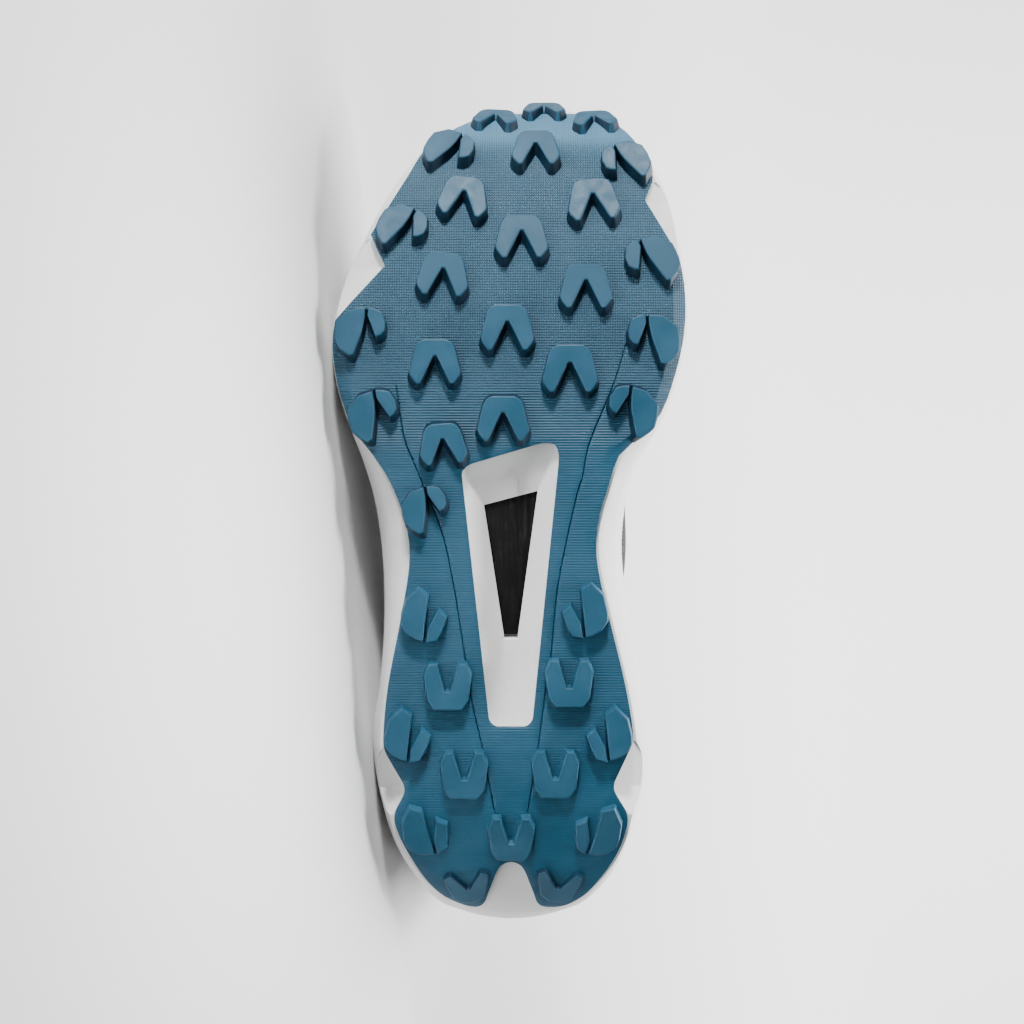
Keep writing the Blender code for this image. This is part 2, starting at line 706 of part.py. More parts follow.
def ways():
    """How far round each point of the loop is, from the heel seam (0) to the toe (1)."""
    spots = [Vector(seat(i, k)) for i, k in LOOP]
    count = len(spots)
    heel = count - ACROSS // 2
    toe = STATIONS - 1 + ACROSS // 2
    way = [0.0] * count
    for step in (1, -1):
        line = [heel % count]
        while line[-1] != toe:
            line.append((line[-1] + step) % count)
        lengths = [(spots[b] - spots[a]).length for a, b in zip(line, line[1:])]
        gone = 0.0
        for number, length in zip(line[1:], lengths):
            gone += length
            way[number] = gone / sum(lengths)
    return way


WAYS = ways()


def instep_offset(t):
    """The upper's top line leans to the medial side towards the toe."""
    return 0.022 * BALL_WIDTH * max(0.0, (t - 0.38) / 0.30)


def rib(j):
    """The four control points of one rib of the upper, from the foam's rim to the opening."""
    i, k = LOOP[j]
    x, y = seat(i, k)
    side = 1 if j > STATIONS - 1 + ACROSS // 2 and j <= len(LOOP) - ACROSS // 2 else -1
    read = {name: smooth(RIBS, name, WAYS[j], "way") for name in RIBS}
    top_x = read["station"] * LENGTH
    top_y = instep_offset(read["station"]) + side * read["offset"] * BALL_WIDTH
    low = Vector((x, y, rim_height(x) + 0.0006))
    top = Vector((top_x, top_y, read["height"] * COLLAR_HEIGHT))
    before, after = (Vector(seat(*LOOP[(j + s) % len(LOOP)])) for s in (-1, 1))
    run = after - before
    outward = Vector((run.y, -run.x, 0)).normalized()
    reach = Vector((low.x - top.x, low.y - top.y, 0))
    swell = ARCH_SWELL * math.exp(-(((x / LENGTH - 0.47) / 0.11) ** 2)) if side > 0 else 0.0
    up = Vector((0, 0, COLLAR_HEIGHT))
    hip = low + outward * (read["belly"] * BALL_WIDTH + swell) + up * read["rise"]
    shoulder = top + reach * read["lean"] + outward * swell * 0.4 - up * read["drop"]
    return low, hip, shoulder, top


def on_rib(j, share):
    """A point of the upper's outer face, share of the way up rib j."""
    low, hip, shoulder, top = rib(j)
    w = 1 - share
    return low * w**3 + hip * 3 * w * w * share + shoulder * 3 * w * share**2 + top * share**3


RIB_SHARES = [k / RIB_ROWS for k in range(RIB_ROWS + 1)]
FACE = [[on_rib(j, share) for j in range(len(LOOP))] for share in RIB_SHARES]


def face_direction(j, row):
    """The outward direction of the upper's face at one point of its net."""
    count = len(LOOP)
    run = FACE[row][(j + 1) % count] - FACE[row][j - 1]
    climb = FACE[min(row + 1, RIB_ROWS)][j] - FACE[max(row - 1, 0)][j]
    return run.cross(climb).normalized()


def make_upper():
    skin = Skin()
    hem = [seat(i, k) for i, k in LOOP]
    rings = [[skin.point((x, y, footbed_height(x) + GAP)) for x, y in hem]]
    rings += [[skin.point(p) for p in row] for row in FACE]
    for below, above in zip(rings, rings[1:]):
        skin.strip(below, above)
    upper = skin.build("upper", solid=False)
    wall = upper.vertex_groups.new(name="wall")
    for level, ring in enumerate(rings):
        for j, number in enumerate(ring):
            padded = max(0.0, (level - 4) / (len(rings) - 5)) * max(0.0, min(1.0, (0.46 - WAYS[j]) / 0.12))
            thick = blend(UPPER_WALL, COLLAR_PAD, padded)
            wall.add([number], thick / COLLAR_PAD, "REPLACE")
    shell = upper.modifiers.new("wall", "SOLIDIFY")
    shell.thickness = COLLAR_PAD
    shell.offset = -1
    shell.vertex_group = "wall"
    shell.use_even_offset = False
    shell.use_quality_normals = True
    boolean(upper, "DIFFERENCE", eyelet_cutters("eyelet_holes"))
    return finish(upper, (0.055, 0.058, 0.062), 0.85)


def eyelet_spots():
    """The columns of the net that carry eyelets, in pairs up the throat, for each side."""
    toe = STATIONS - 1 + ACROSS // 2
    sides = []
    for step in (-1, 1):
        column = [(toe + step * n) % len(LOOP) for n in range(1, len(LOOP) // 2)]
        wanted = [blend(0.82, 0.52, n / (EYELET_COUNT - 1)) for n in range(EYELET_COUNT)]
        sides.append([min(column, key=lambda j, w=w: abs(WAYS[j] - w)) for w in wanted])
    return sides


def eyelet_place(j):
    """Centre and outward direction of the eyelet on one rib."""
    row = RIB_ROWS - 1
    centre = (FACE[row][j] * 0.70 + FACE[row + 1][j] * 0.30)
    return centre, face_direction(j, row)


def eyelet_cutters(name):
    made = []
    for column in eyelet_spots():
        for j in column:
            centre, out = eyelet_place(j)
            work = bmesh.new()
            turned = out.to_track_quat("Z", "Y").to_matrix().to_4x4()
            bmesh.ops.create_cone(
                work, cap_ends=True, segments=8, radius1=EYELET_RADIUS, radius2=EYELET_RADIUS,
                depth=0.010, matrix=Matrix.Translation(centre) @ turned,
            )
            mesh = bpy.data.meshes.new("eyelet")
            work.to_mesh(mesh)
            work.free()
            made.append(bpy.data.objects.new("eyelet", mesh))
    return joined(name, made)


def overlay(name, columns, low_row, top_of, thick):
    """A layer on the upper: columns of its net, from one row up to a share that may vary."""
    skin = Skin()
    sheets = []
    for out in (GAP, GAP + thick):
        lines = []
        for j in columns:
            share = top_of(WAYS[j])
            last = max(row for row in range(RIB_ROWS + 1) if RIB_SHARES[row] < share - 0.02)
            line = [FACE[row][j] + face_direction(j, row) * out for row in range(low_row, last + 1)]
            beyond = blend(FACE[last][j], FACE[last + 1][j], (share - RIB_SHARES[last]) * RIB_ROWS)
            turn = blend(face_direction(j, last), face_direction(j, last + 1), 0.5).normalized()
            lines.append([skin.point(p) for p in line] + [skin.point(beyond + turn * out)])
        sheets.append(lines)
    for lines, flip in zip(sheets, (True, False)):
        for a, b in zip(lines, lines[1:]):
            shared = min(len(a), len(b))
            for k in range(shared - 1):
                face = (a[k], b[k], b[k + 1], a[k + 1])
                skin.faces.append(face[::-1] if flip else face)
            longer, tip = (a, b[-1]) if len(a) > len(b) else (b, a[-1])
            for k in range(shared - 1, len(longer) - 1):
                face = (longer[k], longer[k + 1], tip)
                skin.faces.append(face if (longer is b) != flip else face[::-1])
    inner, outer = sheets
    for at in (0, -1):
        skin.strip([line[at] for line in inner], [line[at] for line in outer], closed=False)
    for line in (0, -1):
        skin.strip(inner[line], outer[line], closed=False)
    return skin.build(name)


def loop_span(first, last):
    """Columns of the net from one number to another, round the heel's seam if need be."""
    return [j % len(LOOP) for j in range(first, last + 1)]


def make_toe_cap():
    toe = STATIONS - 1 + ACROSS // 2
    reach = sum(1 for way in WAYS if way > 0.80) // 2
    cap = overlay(
        "toe_cap", loop_span(toe - reach, toe + reach), 1,
        lambda way: blend(0.20, 0.46, min(1.0, max(0.0, (way - 0.80) / 0.16))), OVERLAY,
    )
    return finish(cap, (0.035, 0.040, 0.045), 0.50)


def make_heel_counter():
    heel = len(LOOP) - ACROSS // 2
    reach = sum(1 for way in WAYS if way < 0.15) // 2
    counter = overlay(
        "heel_counter", loop_span(heel - reach, heel + reach), 1,
        lambda way: blend(0.58, 0.30, min(1.0, way / 0.15)), COUNTER,
    )
    return finish(counter, (0.035, 0.040, 0.045), 0.45)


def under(j, row):
    """A point just inside the upper's wall, below one point of its net."""
    return FACE[row][j] - face_direction(j, row) * (UPPER_WALL + TONGUE_CLEAR)


def make_tongue():
    """A padded tongue that runs under the throat's edges and stands up past the collar."""
    toe = STATIONS - 1 + ACROSS // 2
    lines = [[under(toe + n, RIB_ROWS - 1) for n in range(-3, 4)]]
    n = 3
    while WAYS[toe - n] > 0.49:
        lateral, medial = ((under(j, RIB_ROWS - 1), under(j, RIB_ROWS)) for j in (toe - n, toe + n))
        bridge = [blend(lateral[1], medial[1], share) for share in (0.25, 0.5, 0.75)]
        lines.append([*lateral, *bridge, *reversed(medial)])
        n += 1
    last = lines[-1]
    on = (last[3] - lines[-2][3]).normalized()
    last = [blend(last[1], last[0], 0.1), *last[1:-1], blend(last[-2], last[-1], 0.1)]
    for step, narrow in ((0.30, 0.80), (0.45, 1.00), (0.25, 0.84)):
        middle = last[3]
        moved = [middle + (p - middle) * narrow for p in last]
        last = [p + on * TONGUE_RISE * step + Vector((0, 0, TONGUE_LIFT * step)) for p in moved]
        lines.append(last)
    outer, inner = [], []
    for number, line in enumerate(lines):
        run = lines[min(number + 1, len(lines) - 1)][3] - lines[max(number - 1, 0)][3]
        lift = run.cross(Vector((0, 1, 0))).normalized()
        lift = lift if lift.z > 0 else -lift
        span = (line[-2] - line[1]).length
        crown = [0, 0, 0.09, 0.12, 0.09, 0, 0] if number > 1 else [-0.02] * 7
        outer.append([p + lift * share * span for p, share in zip(line, crown)])
        inner.append([p - lift * TONGUE for p in outer[-1]])
    skin = Skin()
    outer, inner = skin.grid(outer), skin.grid(inner)
    for at in (0, -1):
        skin.strip([row[at] for row in outer], [row[at] for row in inner], closed=False)
        skin.strip(outer[at], inner[at], closed=False)
    return finish(skin.build("tongue"), (0.060, 0.063, 0.068), 0.85)


def lace_bar(start, end):
    """One crossing of the lace, from above one eyelet to above another."""
    (a, up_a), (b, up_b) = start, end
    along = (b - a).normalized() * LACE_RADIUS * 0.8
    a, b = a + up_a * LACE_SEAT - along, b + up_b * LACE_SEAT + along
    arch = ((up_a + up_b) * 0.5).normalized() * LACE_ARCH
    curve = bpy.data.curves.new("lace_bar", "CURVE")
    curve.dimensions = "3D"
    curve.bevel_depth = LACE_RADIUS
    curve.bevel_resolution = 1
    curve.use_fill_caps = True
    spline = curve.splines.new("POLY")
    count = 5
    spline.points.add(count - 1)
    for n in range(count):
        share = n / (count - 1)
        spot = blend(a, b, share) + arch * (1 - (2 * share - 1) ** 2)
        spline.points[n].co = (*spot, 1.0)
    tube = bpy.data.objects.new("lace_bar", curve)
    bpy.context.scene.collection.objects.link(tube)
    bpy.context.view_layer.update()
    mesh = bpy.data.meshes.new_from_object(tube.evaluated_get(bpy.context.evaluated_depsgraph_get()))
    bpy.data.objects.remove(tube)
    work = bmesh.new()
    work.from_mesh(mesh)
    bmesh.ops.remove_doubles(work, verts=work.verts, dist=0.00001)
    bmesh.ops.recalc_face_normals(work, faces=work.faces)
    work.to_mesh(mesh)
    work.free()
    return bpy.data.objects.new("lace_bar", mesh)


def make_lace():
    """The lace's crossings, joined above the eyelets into one lattice."""
    lateral, medial = ([eyelet_place(j) for j in column] for column in eyelet_spots())
    pairs = [(lateral[0], medial[0])]
    for n in range(EYELET_COUNT - 1):
        pairs += [(lateral[n], medial[n + 1]), (medial[n], lateral[n + 1])]
    bars = [lace_bar(*pair) for pair in pairs]
    lace = bars[0]
    lace.name = "lace"
    for bar in bars[1:]:
        boolean(lace, "UNION", bar)
    return finish(lace, (0.70, 0.71, 0.70), 0.75)


def shoe_points():
    """Every corner of the finished pieces, and the middle of their volume."""
    view = bpy.context.evaluated_depsgraph_get()
    points, moment, volume = [], Vector(), 0.0
    for piece in SHOE.objects:
        mesh = piece.evaluated_get(view).to_mesh()
        mesh.calc_loop_triangles()
        corners = [v.co.copy() for v in mesh.vertices]
        points += corners
        for triangle in mesh.loop_triangles:
            a, b, c = (corners[i] for i in triangle.vertices)
            part = a.dot(b.cross(c)) / 6
            volume += part
            moment += (a + b + c) * part / 4
    return points, moment / volume


def resting_direction(points, middle):
    """The outward direction of the side that the shoe rests on: the facet of its convex hull that
    lies under its middle, looking towards the lateral side."""
    work = bmesh.new()
    for p in points:
        work.verts.new(p)
    bmesh.ops.convex_hull(work, input=work.verts)
    direction = Vector((0.06, -1.0, 0.18)).normalized()
    for _ in range(40):
        best = None
        for face in work.faces:
            normal = face.normal if face.normal.dot(face.calc_center_median() - middle) > 0 else -face.normal
            facing = normal.dot(direction)
            if facing < 0.2:
                continue
            reach = (face.verts[0].co - middle).dot(normal) / facing
            if best is None or reach < best[0]:
                best = (reach, normal.copy())
        if (best[1] - direction).length < 1e-6:
            break
        direction = best[1]
    work.free()
    return direction


def lay_down():
    """Parents every piece and cutter to one empty that lays the shoe on its side, toe towards -X."""
    bpy.context.view_layer.update()
    points, middle = shoe_points()
    down = resting_direction(points, middle)
    up = -down
    toe = Vector((1, 0, 0))
    right = -(toe - up * toe.dot(up)).normalized()
    ahead = up.cross(right)
    turn = Matrix((right, ahead, up)).to_4x4()
    placed = [turn @ p for p in points]
    low = [min(p[n] for p in placed) for n in range(3)]
    high = [max(p[n] for p in placed) for n in range(3)]
    shift = Vector((-(low[0] + high[0]) / 2, -(low[1] + high[1]) / 2, -low[2]))
    pose = bpy.data.objects.new("lying_pose", None)
    SHOE.objects.link(pose)
    pose.matrix_world = Matrix.Translation(shift) @ turn
    for piece in list(SHOE.objects) + list(CUTTERS.objects):
        if piece != pose:
            piece.parent = pose
    return pose


make_outsole()
make_midsole()
make_insert()
make_insole()
make_upper()
make_toe_cap()
make_heel_counter()
make_tongue()
make_lace()
POSE = lay_down()
bpy.context.view_layer.update()
print("shoe frame to world:", [[round(value, 5) for value in row] for row in POSE.matrix_world])
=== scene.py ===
# %% [markdown]
# A trail running shoe that lies on its side and shows its tread. The sole carries the picture: a
# sheet of blue-green rubber with chevron lugs, white foam round and behind it, and a dark plate at
# the bottom of a window under the arch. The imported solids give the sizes, and each piece here is
# much the same form again, made finely enough to stand close to, in the shoe's own frame. The lugs
# stand up to 2 mm along the sole from those of the solids, to follow the photograph.

# %% Load the frame and keep its size
import json
import math

import bmesh
import bpy
from mathutils import Matrix, Vector, geometry, kdtree


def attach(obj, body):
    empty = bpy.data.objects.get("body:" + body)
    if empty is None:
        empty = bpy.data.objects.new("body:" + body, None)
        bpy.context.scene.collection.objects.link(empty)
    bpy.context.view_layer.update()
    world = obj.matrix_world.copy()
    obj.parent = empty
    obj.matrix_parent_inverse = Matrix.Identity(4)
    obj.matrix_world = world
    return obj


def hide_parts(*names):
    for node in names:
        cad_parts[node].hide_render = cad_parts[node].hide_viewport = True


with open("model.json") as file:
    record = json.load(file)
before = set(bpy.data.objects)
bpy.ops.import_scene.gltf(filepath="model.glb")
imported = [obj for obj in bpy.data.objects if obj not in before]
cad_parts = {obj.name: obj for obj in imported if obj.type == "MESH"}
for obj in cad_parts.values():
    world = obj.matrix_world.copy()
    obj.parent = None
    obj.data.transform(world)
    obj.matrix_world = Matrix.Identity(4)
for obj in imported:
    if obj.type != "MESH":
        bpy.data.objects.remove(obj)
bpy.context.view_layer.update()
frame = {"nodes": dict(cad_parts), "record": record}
print("the solids:", ", ".join(sorted(frame["nodes"])))

# %% [markdown]
# The shoe is easiest to think about standing up: x from heel to toe, y to the medial side, z up.
# Two lug pads are flat faces that the record lists, with their places and the direction in which
# they face. Two points and a direction are enough to find how the standing shoe was laid down, so
# nothing has to be fitted by eye.

# %% Find how the shoe lies
LENGTH = 0.292
BALL_WIDTH = 0.122
HEEL_PAD = Vector((0.081164, -0.02196, 0.0))
FOREFOOT_PAD = Vector((0.1736, -0.0235, 0.0))


def lying_pose():
    """The matrix from the standing shoe's frame to the world."""
    rests = {mount["name"]: mount for mount in frame["record"]["mounts"]}
    heel, forefoot = (Vector(rests[name]["pos_m"]) for name in ("heel_rest", "forefoot_rest"))
    up = -Vector(rests["heel_rest"]["axis"]).normalized()
    run = (forefoot - heel).normalized()
    planned = FOREFOOT_PAD - HEEL_PAD
    angle = math.atan2(planned.y, planned.x)
    ahead = run * math.cos(angle) - up.cross(run) * math.sin(angle)
    turn = Matrix((ahead, up.cross(ahead), up)).transposed()
    return Matrix.Translation(heel - turn @ HEEL_PAD) @ turn.to_4x4()


SHOE = lying_pose()
print("toe points to", [round(c, 3) for c in SHOE.to_3x3() @ Vector((1, 0, 0))])

# %% [markdown]
# The photograph looks square at the tread, toe up. From how far isn't known, and 1.1 m is assumed.
# Seen from the lying shoe, that is a camera almost level with it and rolled a quarter turn. A long
# lens keeps the sole's outline true; the toe, which curls away, comes out a little smaller.

# %% Place the camera
PICTURE_WIDTH = 0.3546
CAMERA_AWAY = 1.10
PICTURE_CENTRE = Vector((0.1444, 0.0004, 0.0))
SENSOR = 36.0

lens = bpy.data.cameras.new("camera")
lens.sensor_width = SENSOR
lens.lens = SENSOR * CAMERA_AWAY / PICTURE_WIDTH
camera = bpy.data.objects.new("camera", lens)
bpy.context.scene.collection.objects.link(camera)
facing = Matrix(((0, 1, 0), (1, 0, 0), (0, 0, -1))).to_4x4()
camera.matrix_world = SHOE @ Matrix.Translation(PICTURE_CENTRE - Vector((0, 0, CAMERA_AWAY))) @ facing
bpy.context.scene.camera = camera
print("camera at", [round(c, 3) for c in camera.matrix_world.translation])

# %% [markdown]
# A studio: a pale floor that turns up into a pale wall behind the shoe. One small key light stands
# beyond the toe, 31 degrees to the camera's side of the tread's plane, so each lug throws a crisp
# shadow towards the heel. A weak light in front keeps the shadows open, and one overhead, behind
# the tread's plane, whitens the paper and the foam's sides without touching the tread, helped by
# one for the wall. A narrow one shines down on the floor in front, which throws some light back
# under the sole. The world adds a little. All are fitted to the tones of the photograph.

# %% Set up the floor, the backdrop and the lights
FLOOR_REACH = 3.0
WALL_AWAY = 1.85
WALL_BEND = 0.55
KEY_AWAY = 2.2
KEY_RISE = math.radians(31)
KEY_SIZE = 0.24
KEY_POWER = 80.0
FILL_PLACE = Vector((0.00, 0.40, -1.80))
FILL_SIZE = 1.0
FILL_POWER = 1.15
TOP_PLACE = Vector((0.05, 1.15, 0.45))
TOP_TARGET = Vector((0.15, 0.0, 0.70))
TOP_SIZE = 1.2
TOP_POWER = 41.0
WALL_PLACE = Vector((0.10, 1.15, 1.35))
WALL_TARGET = Vector((0.15, -0.05, 1.60))
WALL_SIZE = 1.0
WALL_POWER = 21.0
FLOOR_PLACE = Vector((0.160, 0.900, -0.260))
FLOOR_TARGET = Vector((0.140, -0.070, -0.150))
FLOOR_SIZE = 0.30
FLOOR_POWER = 0.72
FLOOR_SPREAD = math.radians(32)
WORLD_GREY = 0.040


def backdrop():
    """One sheet: floor, a bend, and a wall."""
    bend = [i * math.pi / 32 for i in range(17)]
    line = [(-FLOOR_REACH, 0.0), (WALL_AWAY - WALL_BEND, 0.0)]
    start = WALL_AWAY - WALL_BEND
    line += [(start + WALL_BEND * math.sin(a), WALL_BEND - WALL_BEND * math.cos(a)) for a in bend]
    line.append((WALL_AWAY, FLOOR_REACH))
    points = [(x, y, z) for y, z in line for x in (-FLOOR_REACH, FLOOR_REACH)]
    faces = [(2 * i, 2 * i + 1, 2 * i + 3, 2 * i + 2) for i in range(len(line) - 1)]
    mesh = bpy.data.meshes.new("studio")
    mesh.from_pydata(points, [], faces)
    mesh.shade_smooth()
    sheet = bpy.data.objects.new("studio", mesh)
    bpy.context.scene.collection.objects.link(sheet)
    return sheet


def soft_light(name, place, size, power, target):
    lamp = bpy.data.lights.new(name, "AREA")
    lamp.size = size
    lamp.energy = power
    light = bpy.data.objects.new(name, lamp)
    bpy.context.scene.collection.objects.link(light)
    away = SHOE @ place - SHOE @ target
    light.matrix_world = Matrix.Translation(SHOE @ place) @ away.to_track_quat("Z", "Y").to_matrix().to_4x4()
    return light


STUDIO = backdrop()
MIDDLE = Vector((0.15, 0, 0.02))
key_place = MIDDLE + Vector((math.cos(KEY_RISE), 0, -math.sin(KEY_RISE))) * KEY_AWAY
soft_light("key", key_place, KEY_SIZE, KEY_POWER, MIDDLE)
soft_light("fill", FILL_PLACE, FILL_SIZE, FILL_POWER, MIDDLE)
soft_light("overhead", TOP_PLACE, TOP_SIZE, TOP_POWER, TOP_TARGET)
soft_light("wall", WALL_PLACE, WALL_SIZE, WALL_POWER, WALL_TARGET)
bounce = soft_light("floor", FLOOR_PLACE, FLOOR_SIZE, FLOOR_POWER, FLOOR_TARGET)
bounce.data.spread = FLOOR_SPREAD
world = bpy.data.worlds.new("grey")
world.use_nodes = True
world.node_tree.nodes["Background"].inputs["Color"].default_value = (1, 1, 1, 1)
world.node_tree.nodes["Background"].inputs["Strength"].default_value = WORLD_GREY
bpy.context.scene.world = world

# %% [markdown]
# Materials are node trees, and most share a few steps: read a place, make a pattern, mix two
# colours, turn a height into a bump. A small helper class keeps each material short enough to read.
# Patterns are laid out by "place", a point's position in the standing shoe's frame, which is written
# on every mesh, or by the knit's own net, so they keep their scale wherever the shoe lies.

# %% A helper for node materials


class Finish:
    """A material under construction: each method adds one node and returns its output."""

    def __init__(self, name, colour, roughness, **sockets):
        self.material = bpy.data.materials.new(name)
        self.material.use_nodes = True
        self.tree = self.material.node_tree
        self.shader = self.tree.nodes["Principled BSDF"]
        self.shader.inputs["Base Color"].default_value = (*colour, 1)
        self.shader.inputs["Roughness"].default_value = roughness
        for socket, value in sockets.items():
            self.shader.inputs[socket.replace("_", " ")].default_value = value

    def node(self, kind, **settings):
        node = self.tree.nodes.new(kind)
        for key, value in settings.items():
            setattr(node, key, value)
        return node

    def link(self, out, socket):
        self.tree.links.new(out, socket)

    def place(self, scale=(1, 1, 1)):
        read = self.node("ShaderNodeAttribute", attribute_name="place")
        spread = self.node("ShaderNodeMapping")
        spread.inputs["Scale"].default_value = scale
        self.link(read.outputs["Vector"], spread.inputs["Vector"])
        return spread.outputs["Vector"]

    def net(self, scale=(1, 1, 1), turn=(0, 0, 0)):
        read = self.node("ShaderNodeUVMap", uv_map="net")
        spread = self.node("ShaderNodeMapping")
        spread.inputs["Scale"].default_value = scale
        spread.inputs["Rotation"].default_value = turn
        self.link(read.outputs["UV"], spread.inputs["Vector"])
        return spread.outputs["Vector"]

    def noise(self, where, scale, detail=3.0, roughness=0.5):
        node = self.node("ShaderNodeTexNoise")
        node.inputs["Scale"].default_value = scale
        node.inputs["Detail"].default_value = detail
        node.inputs["Roughness"].default_value = roughness
        self.link(where, node.inputs["Vector"])
        return node.outputs["Fac"]

    def ribs(self, where, pitch, direction, distortion=0.0):
        node = self.node("ShaderNodeTexWave", bands_direction=direction)
        node.inputs["Scale"].default_value = math.pi / (10 * pitch)
        node.inputs["Distortion"].default_value = distortion
        node.inputs["Detail Scale"].default_value = 1.0
        self.link(where, node.inputs["Vector"])
        return node.outputs["Fac"]

    def cells(self, where, scale):
        node = self.node("ShaderNodeTexVoronoi")
        node.inputs["Scale"].default_value = scale
        self.link(where, node.inputs["Vector"])
        return node.outputs["Distance"]

    def sum(self, a, b, operation="ADD"):
        node = self.node("ShaderNodeMath", operation=operation)
        for socket, value in zip(node.inputs, (a, b)):
            if isinstance(value, (int, float)):
                socket.default_value = value
            else:
                self.link(value, socket)
        return node.outputs[0]

    def fade(self, value, low, high, start=0.0, end=1.0):
        node = self.node("ShaderNodeMapRange", interpolation_type="SMOOTHSTEP")
        for socket, number in zip(list(node.inputs)[1:5], (low, high, start, end)):
            socket.default_value = number
        self.link(value, node.inputs[0])
        return node.outputs[0]

    def axis(self, where, name):
        node = self.node("ShaderNodeSeparateXYZ")
        self.link(where, node.inputs[0])
        return node.outputs[name]

    def mix(self, share, first, second):
        node = self.node("ShaderNodeMix", data_type="RGBA")
        self.link(share, node.inputs[0])
        for socket, value in zip((node.inputs[6], node.inputs[7]), (first, second)):
            if isinstance(value, tuple):
                socket.default_value = (*value, 1)
            else:
                self.link(value, socket)
        return node.outputs[2]

    def colour(self, out):
        self.link(out, self.shader.inputs["Base Color"])

    def rough(self, out):
        self.link(out, self.shader.inputs["Roughness"])

    def bump(self, height, depth):
        node = self.node("ShaderNodeBump")
        node.inputs["Distance"].default_value = depth
        node.inputs["Strength"].default_value = 1.0
        self.link(height, node.inputs["Height"])
        self.link(node.outputs["Normal"], self.shader.inputs["Normal"])


print("the helper makes", len([n for n in dir(Finish) if not n.startswith("_")]), "kinds of step")

# %% [markdown]
# The rubber is one blue-green. Its sheet is moulded with ribs a millimetre apart across the shoe, which turn
# into a fine grid under the ball and toes, and the ribs' hollows are coloured darker, a painted shade. The
# lug pads are smooth. Two tints are fitted to the photograph and are painted light and shade: the sheet grows
# paler from the ball to the toe, a painted sheen, and the walls of the forefoot's lugs and of the last two at
# the heel are darker than their pads, a painted shade.

# %% The three rubber finishes
RUBBER_BLUE = (0.008, 0.061, 0.110)
RUBBER_LIGHT = (0.017, 0.080, 0.140)
RUBBER_PAINTED_SHEEN = (0.100, 0.245, 0.370)
RUBBER_PAINTED_DARK_SHADE = (0.0004, 0.014, 0.034)
RUBBER_PAINTED_SHADE = (0.0006, 0.024, 0.046)
RIB_PITCH = 0.00094


def rubber_sheet():
    f = Finish("ribbed_rubber", RUBBER_BLUE, 0.46, Specular_IOR_Level=0.30)
    place = f.place()
    x = f.axis(place, "X")
    ribs = f.fade(f.ribs(place, RIB_PITCH, "X"), -0.10, 0.95)
    columns = f.fade(f.ribs(place, RIB_PITCH * 0.88, "Y"), -0.15, 0.85)
    columns = f.mix(f.fade(x, 0.175, 0.215), (1, 1, 1), columns)
    weave = f.sum(ribs, columns, "MULTIPLY")
    depth = f.sum(f.fade(x, 0.160, 0.215, 0.16, 1.0), f.fade(x, 0.015, 0.085, 0.4, 1.0), "MULTIPLY")
    depth = f.sum(depth, f.fade(x, 0.268, 0.280, 1.0, 0.3), "MULTIPLY")
    grain = f.sum(f.noise(place, 1500.0, 2.0), 0.10, "MULTIPLY")
    f.bump(f.sum(f.sum(weave, depth, "MULTIPLY"), grain), 0.00055)
    patches = f.mix(f.fade(f.noise(place, 26.0, 4.0), 0.35, 0.75), RUBBER_BLUE, RUBBER_LIGHT)
    # Painted sheen: the sheet is made paler from the ball to the toe.
    patches = f.mix(f.fade(x, 0.165, 0.235, 0.0, 0.85), patches, RUBBER_PAINTED_SHEEN)
    # Painted shade: the ribs' hollows are coloured darker, most where the ribs are deep.
    painted_rib_shade = f.sum(f.sum(1.0, weave, "SUBTRACT"), f.fade(depth, 0.0, 1.0, 0.08, 0.80), "MULTIPLY")
    f.colour(f.mix(painted_rib_shade, patches, RUBBER_PAINTED_SHADE))
    f.rough(f.fade(f.noise(place, 90.0), 0.3, 0.7, 0.40, 0.50))
    return f.material


def rubber_pad():
    f = Finish("lug_rubber", RUBBER_BLUE, 0.48, Specular_IOR_Level=0.34)
    place = f.place()
    f.colour(f.mix(f.fade(f.noise(place, 60.0, 4.0), 0.35, 0.75), RUBBER_BLUE, RUBBER_LIGHT))
    f.rough(f.fade(f.noise(place, 300.0, 4.0), 0.3, 0.7, 0.44, 0.56))
    f.bump(f.noise(place, 2600.0, 3.0), 0.00004)
    return f.material


# The lug walls' colour is painted shade: they are made darker than the pads all over.
def rubber_wall():
    f = Finish("lug_walls_painted_shade", RUBBER_PAINTED_SHADE, 0.55, Specular_IOR_Level=0.30)
    place = f.place()
    f.colour(f.mix(f.fade(f.noise(place, 160.0, 4.0), 0.35, 0.75), RUBBER_PAINTED_DARK_SHADE, RUBBER_PAINTED_SHADE))
    f.bump(f.noise(place, 1900.0, 3.0), 0.00005)
    return f.material


RIBBED = rubber_sheet()
SMOOTH = rubber_pad()
WALLS = rubber_wall()
print("rubber:", RIBBED.name, SMOOTH.name, WALLS.name)

# %% [markdown]
# The foam is white and matt, as moulded EVA is, with a faint leathery grain and a little grey as if
# from handling. The plate under the arch is nearly black, with fine streaks along the shoe.

# %% Foam and plate
FOAM_WHITE = (0.80, 0.80, 0.79)
FOAM_GREY = (0.67, 0.67, 0.66)


def foam():
    f = Finish("white_foam", FOAM_WHITE, 0.62)
    place = f.place()
    f.colour(f.mix(f.fade(f.noise(place, 35.0, 5.0), 0.42, 0.80), FOAM_WHITE, FOAM_GREY))
    grain = f.sum(f.noise(place, 900.0, 4.0), f.cells(place, 1400.0))
    f.bump(grain, 0.00005)
    f.rough(f.fade(f.noise(place, 120.0), 0.3, 0.7, 0.56, 0.68))
    return f.material


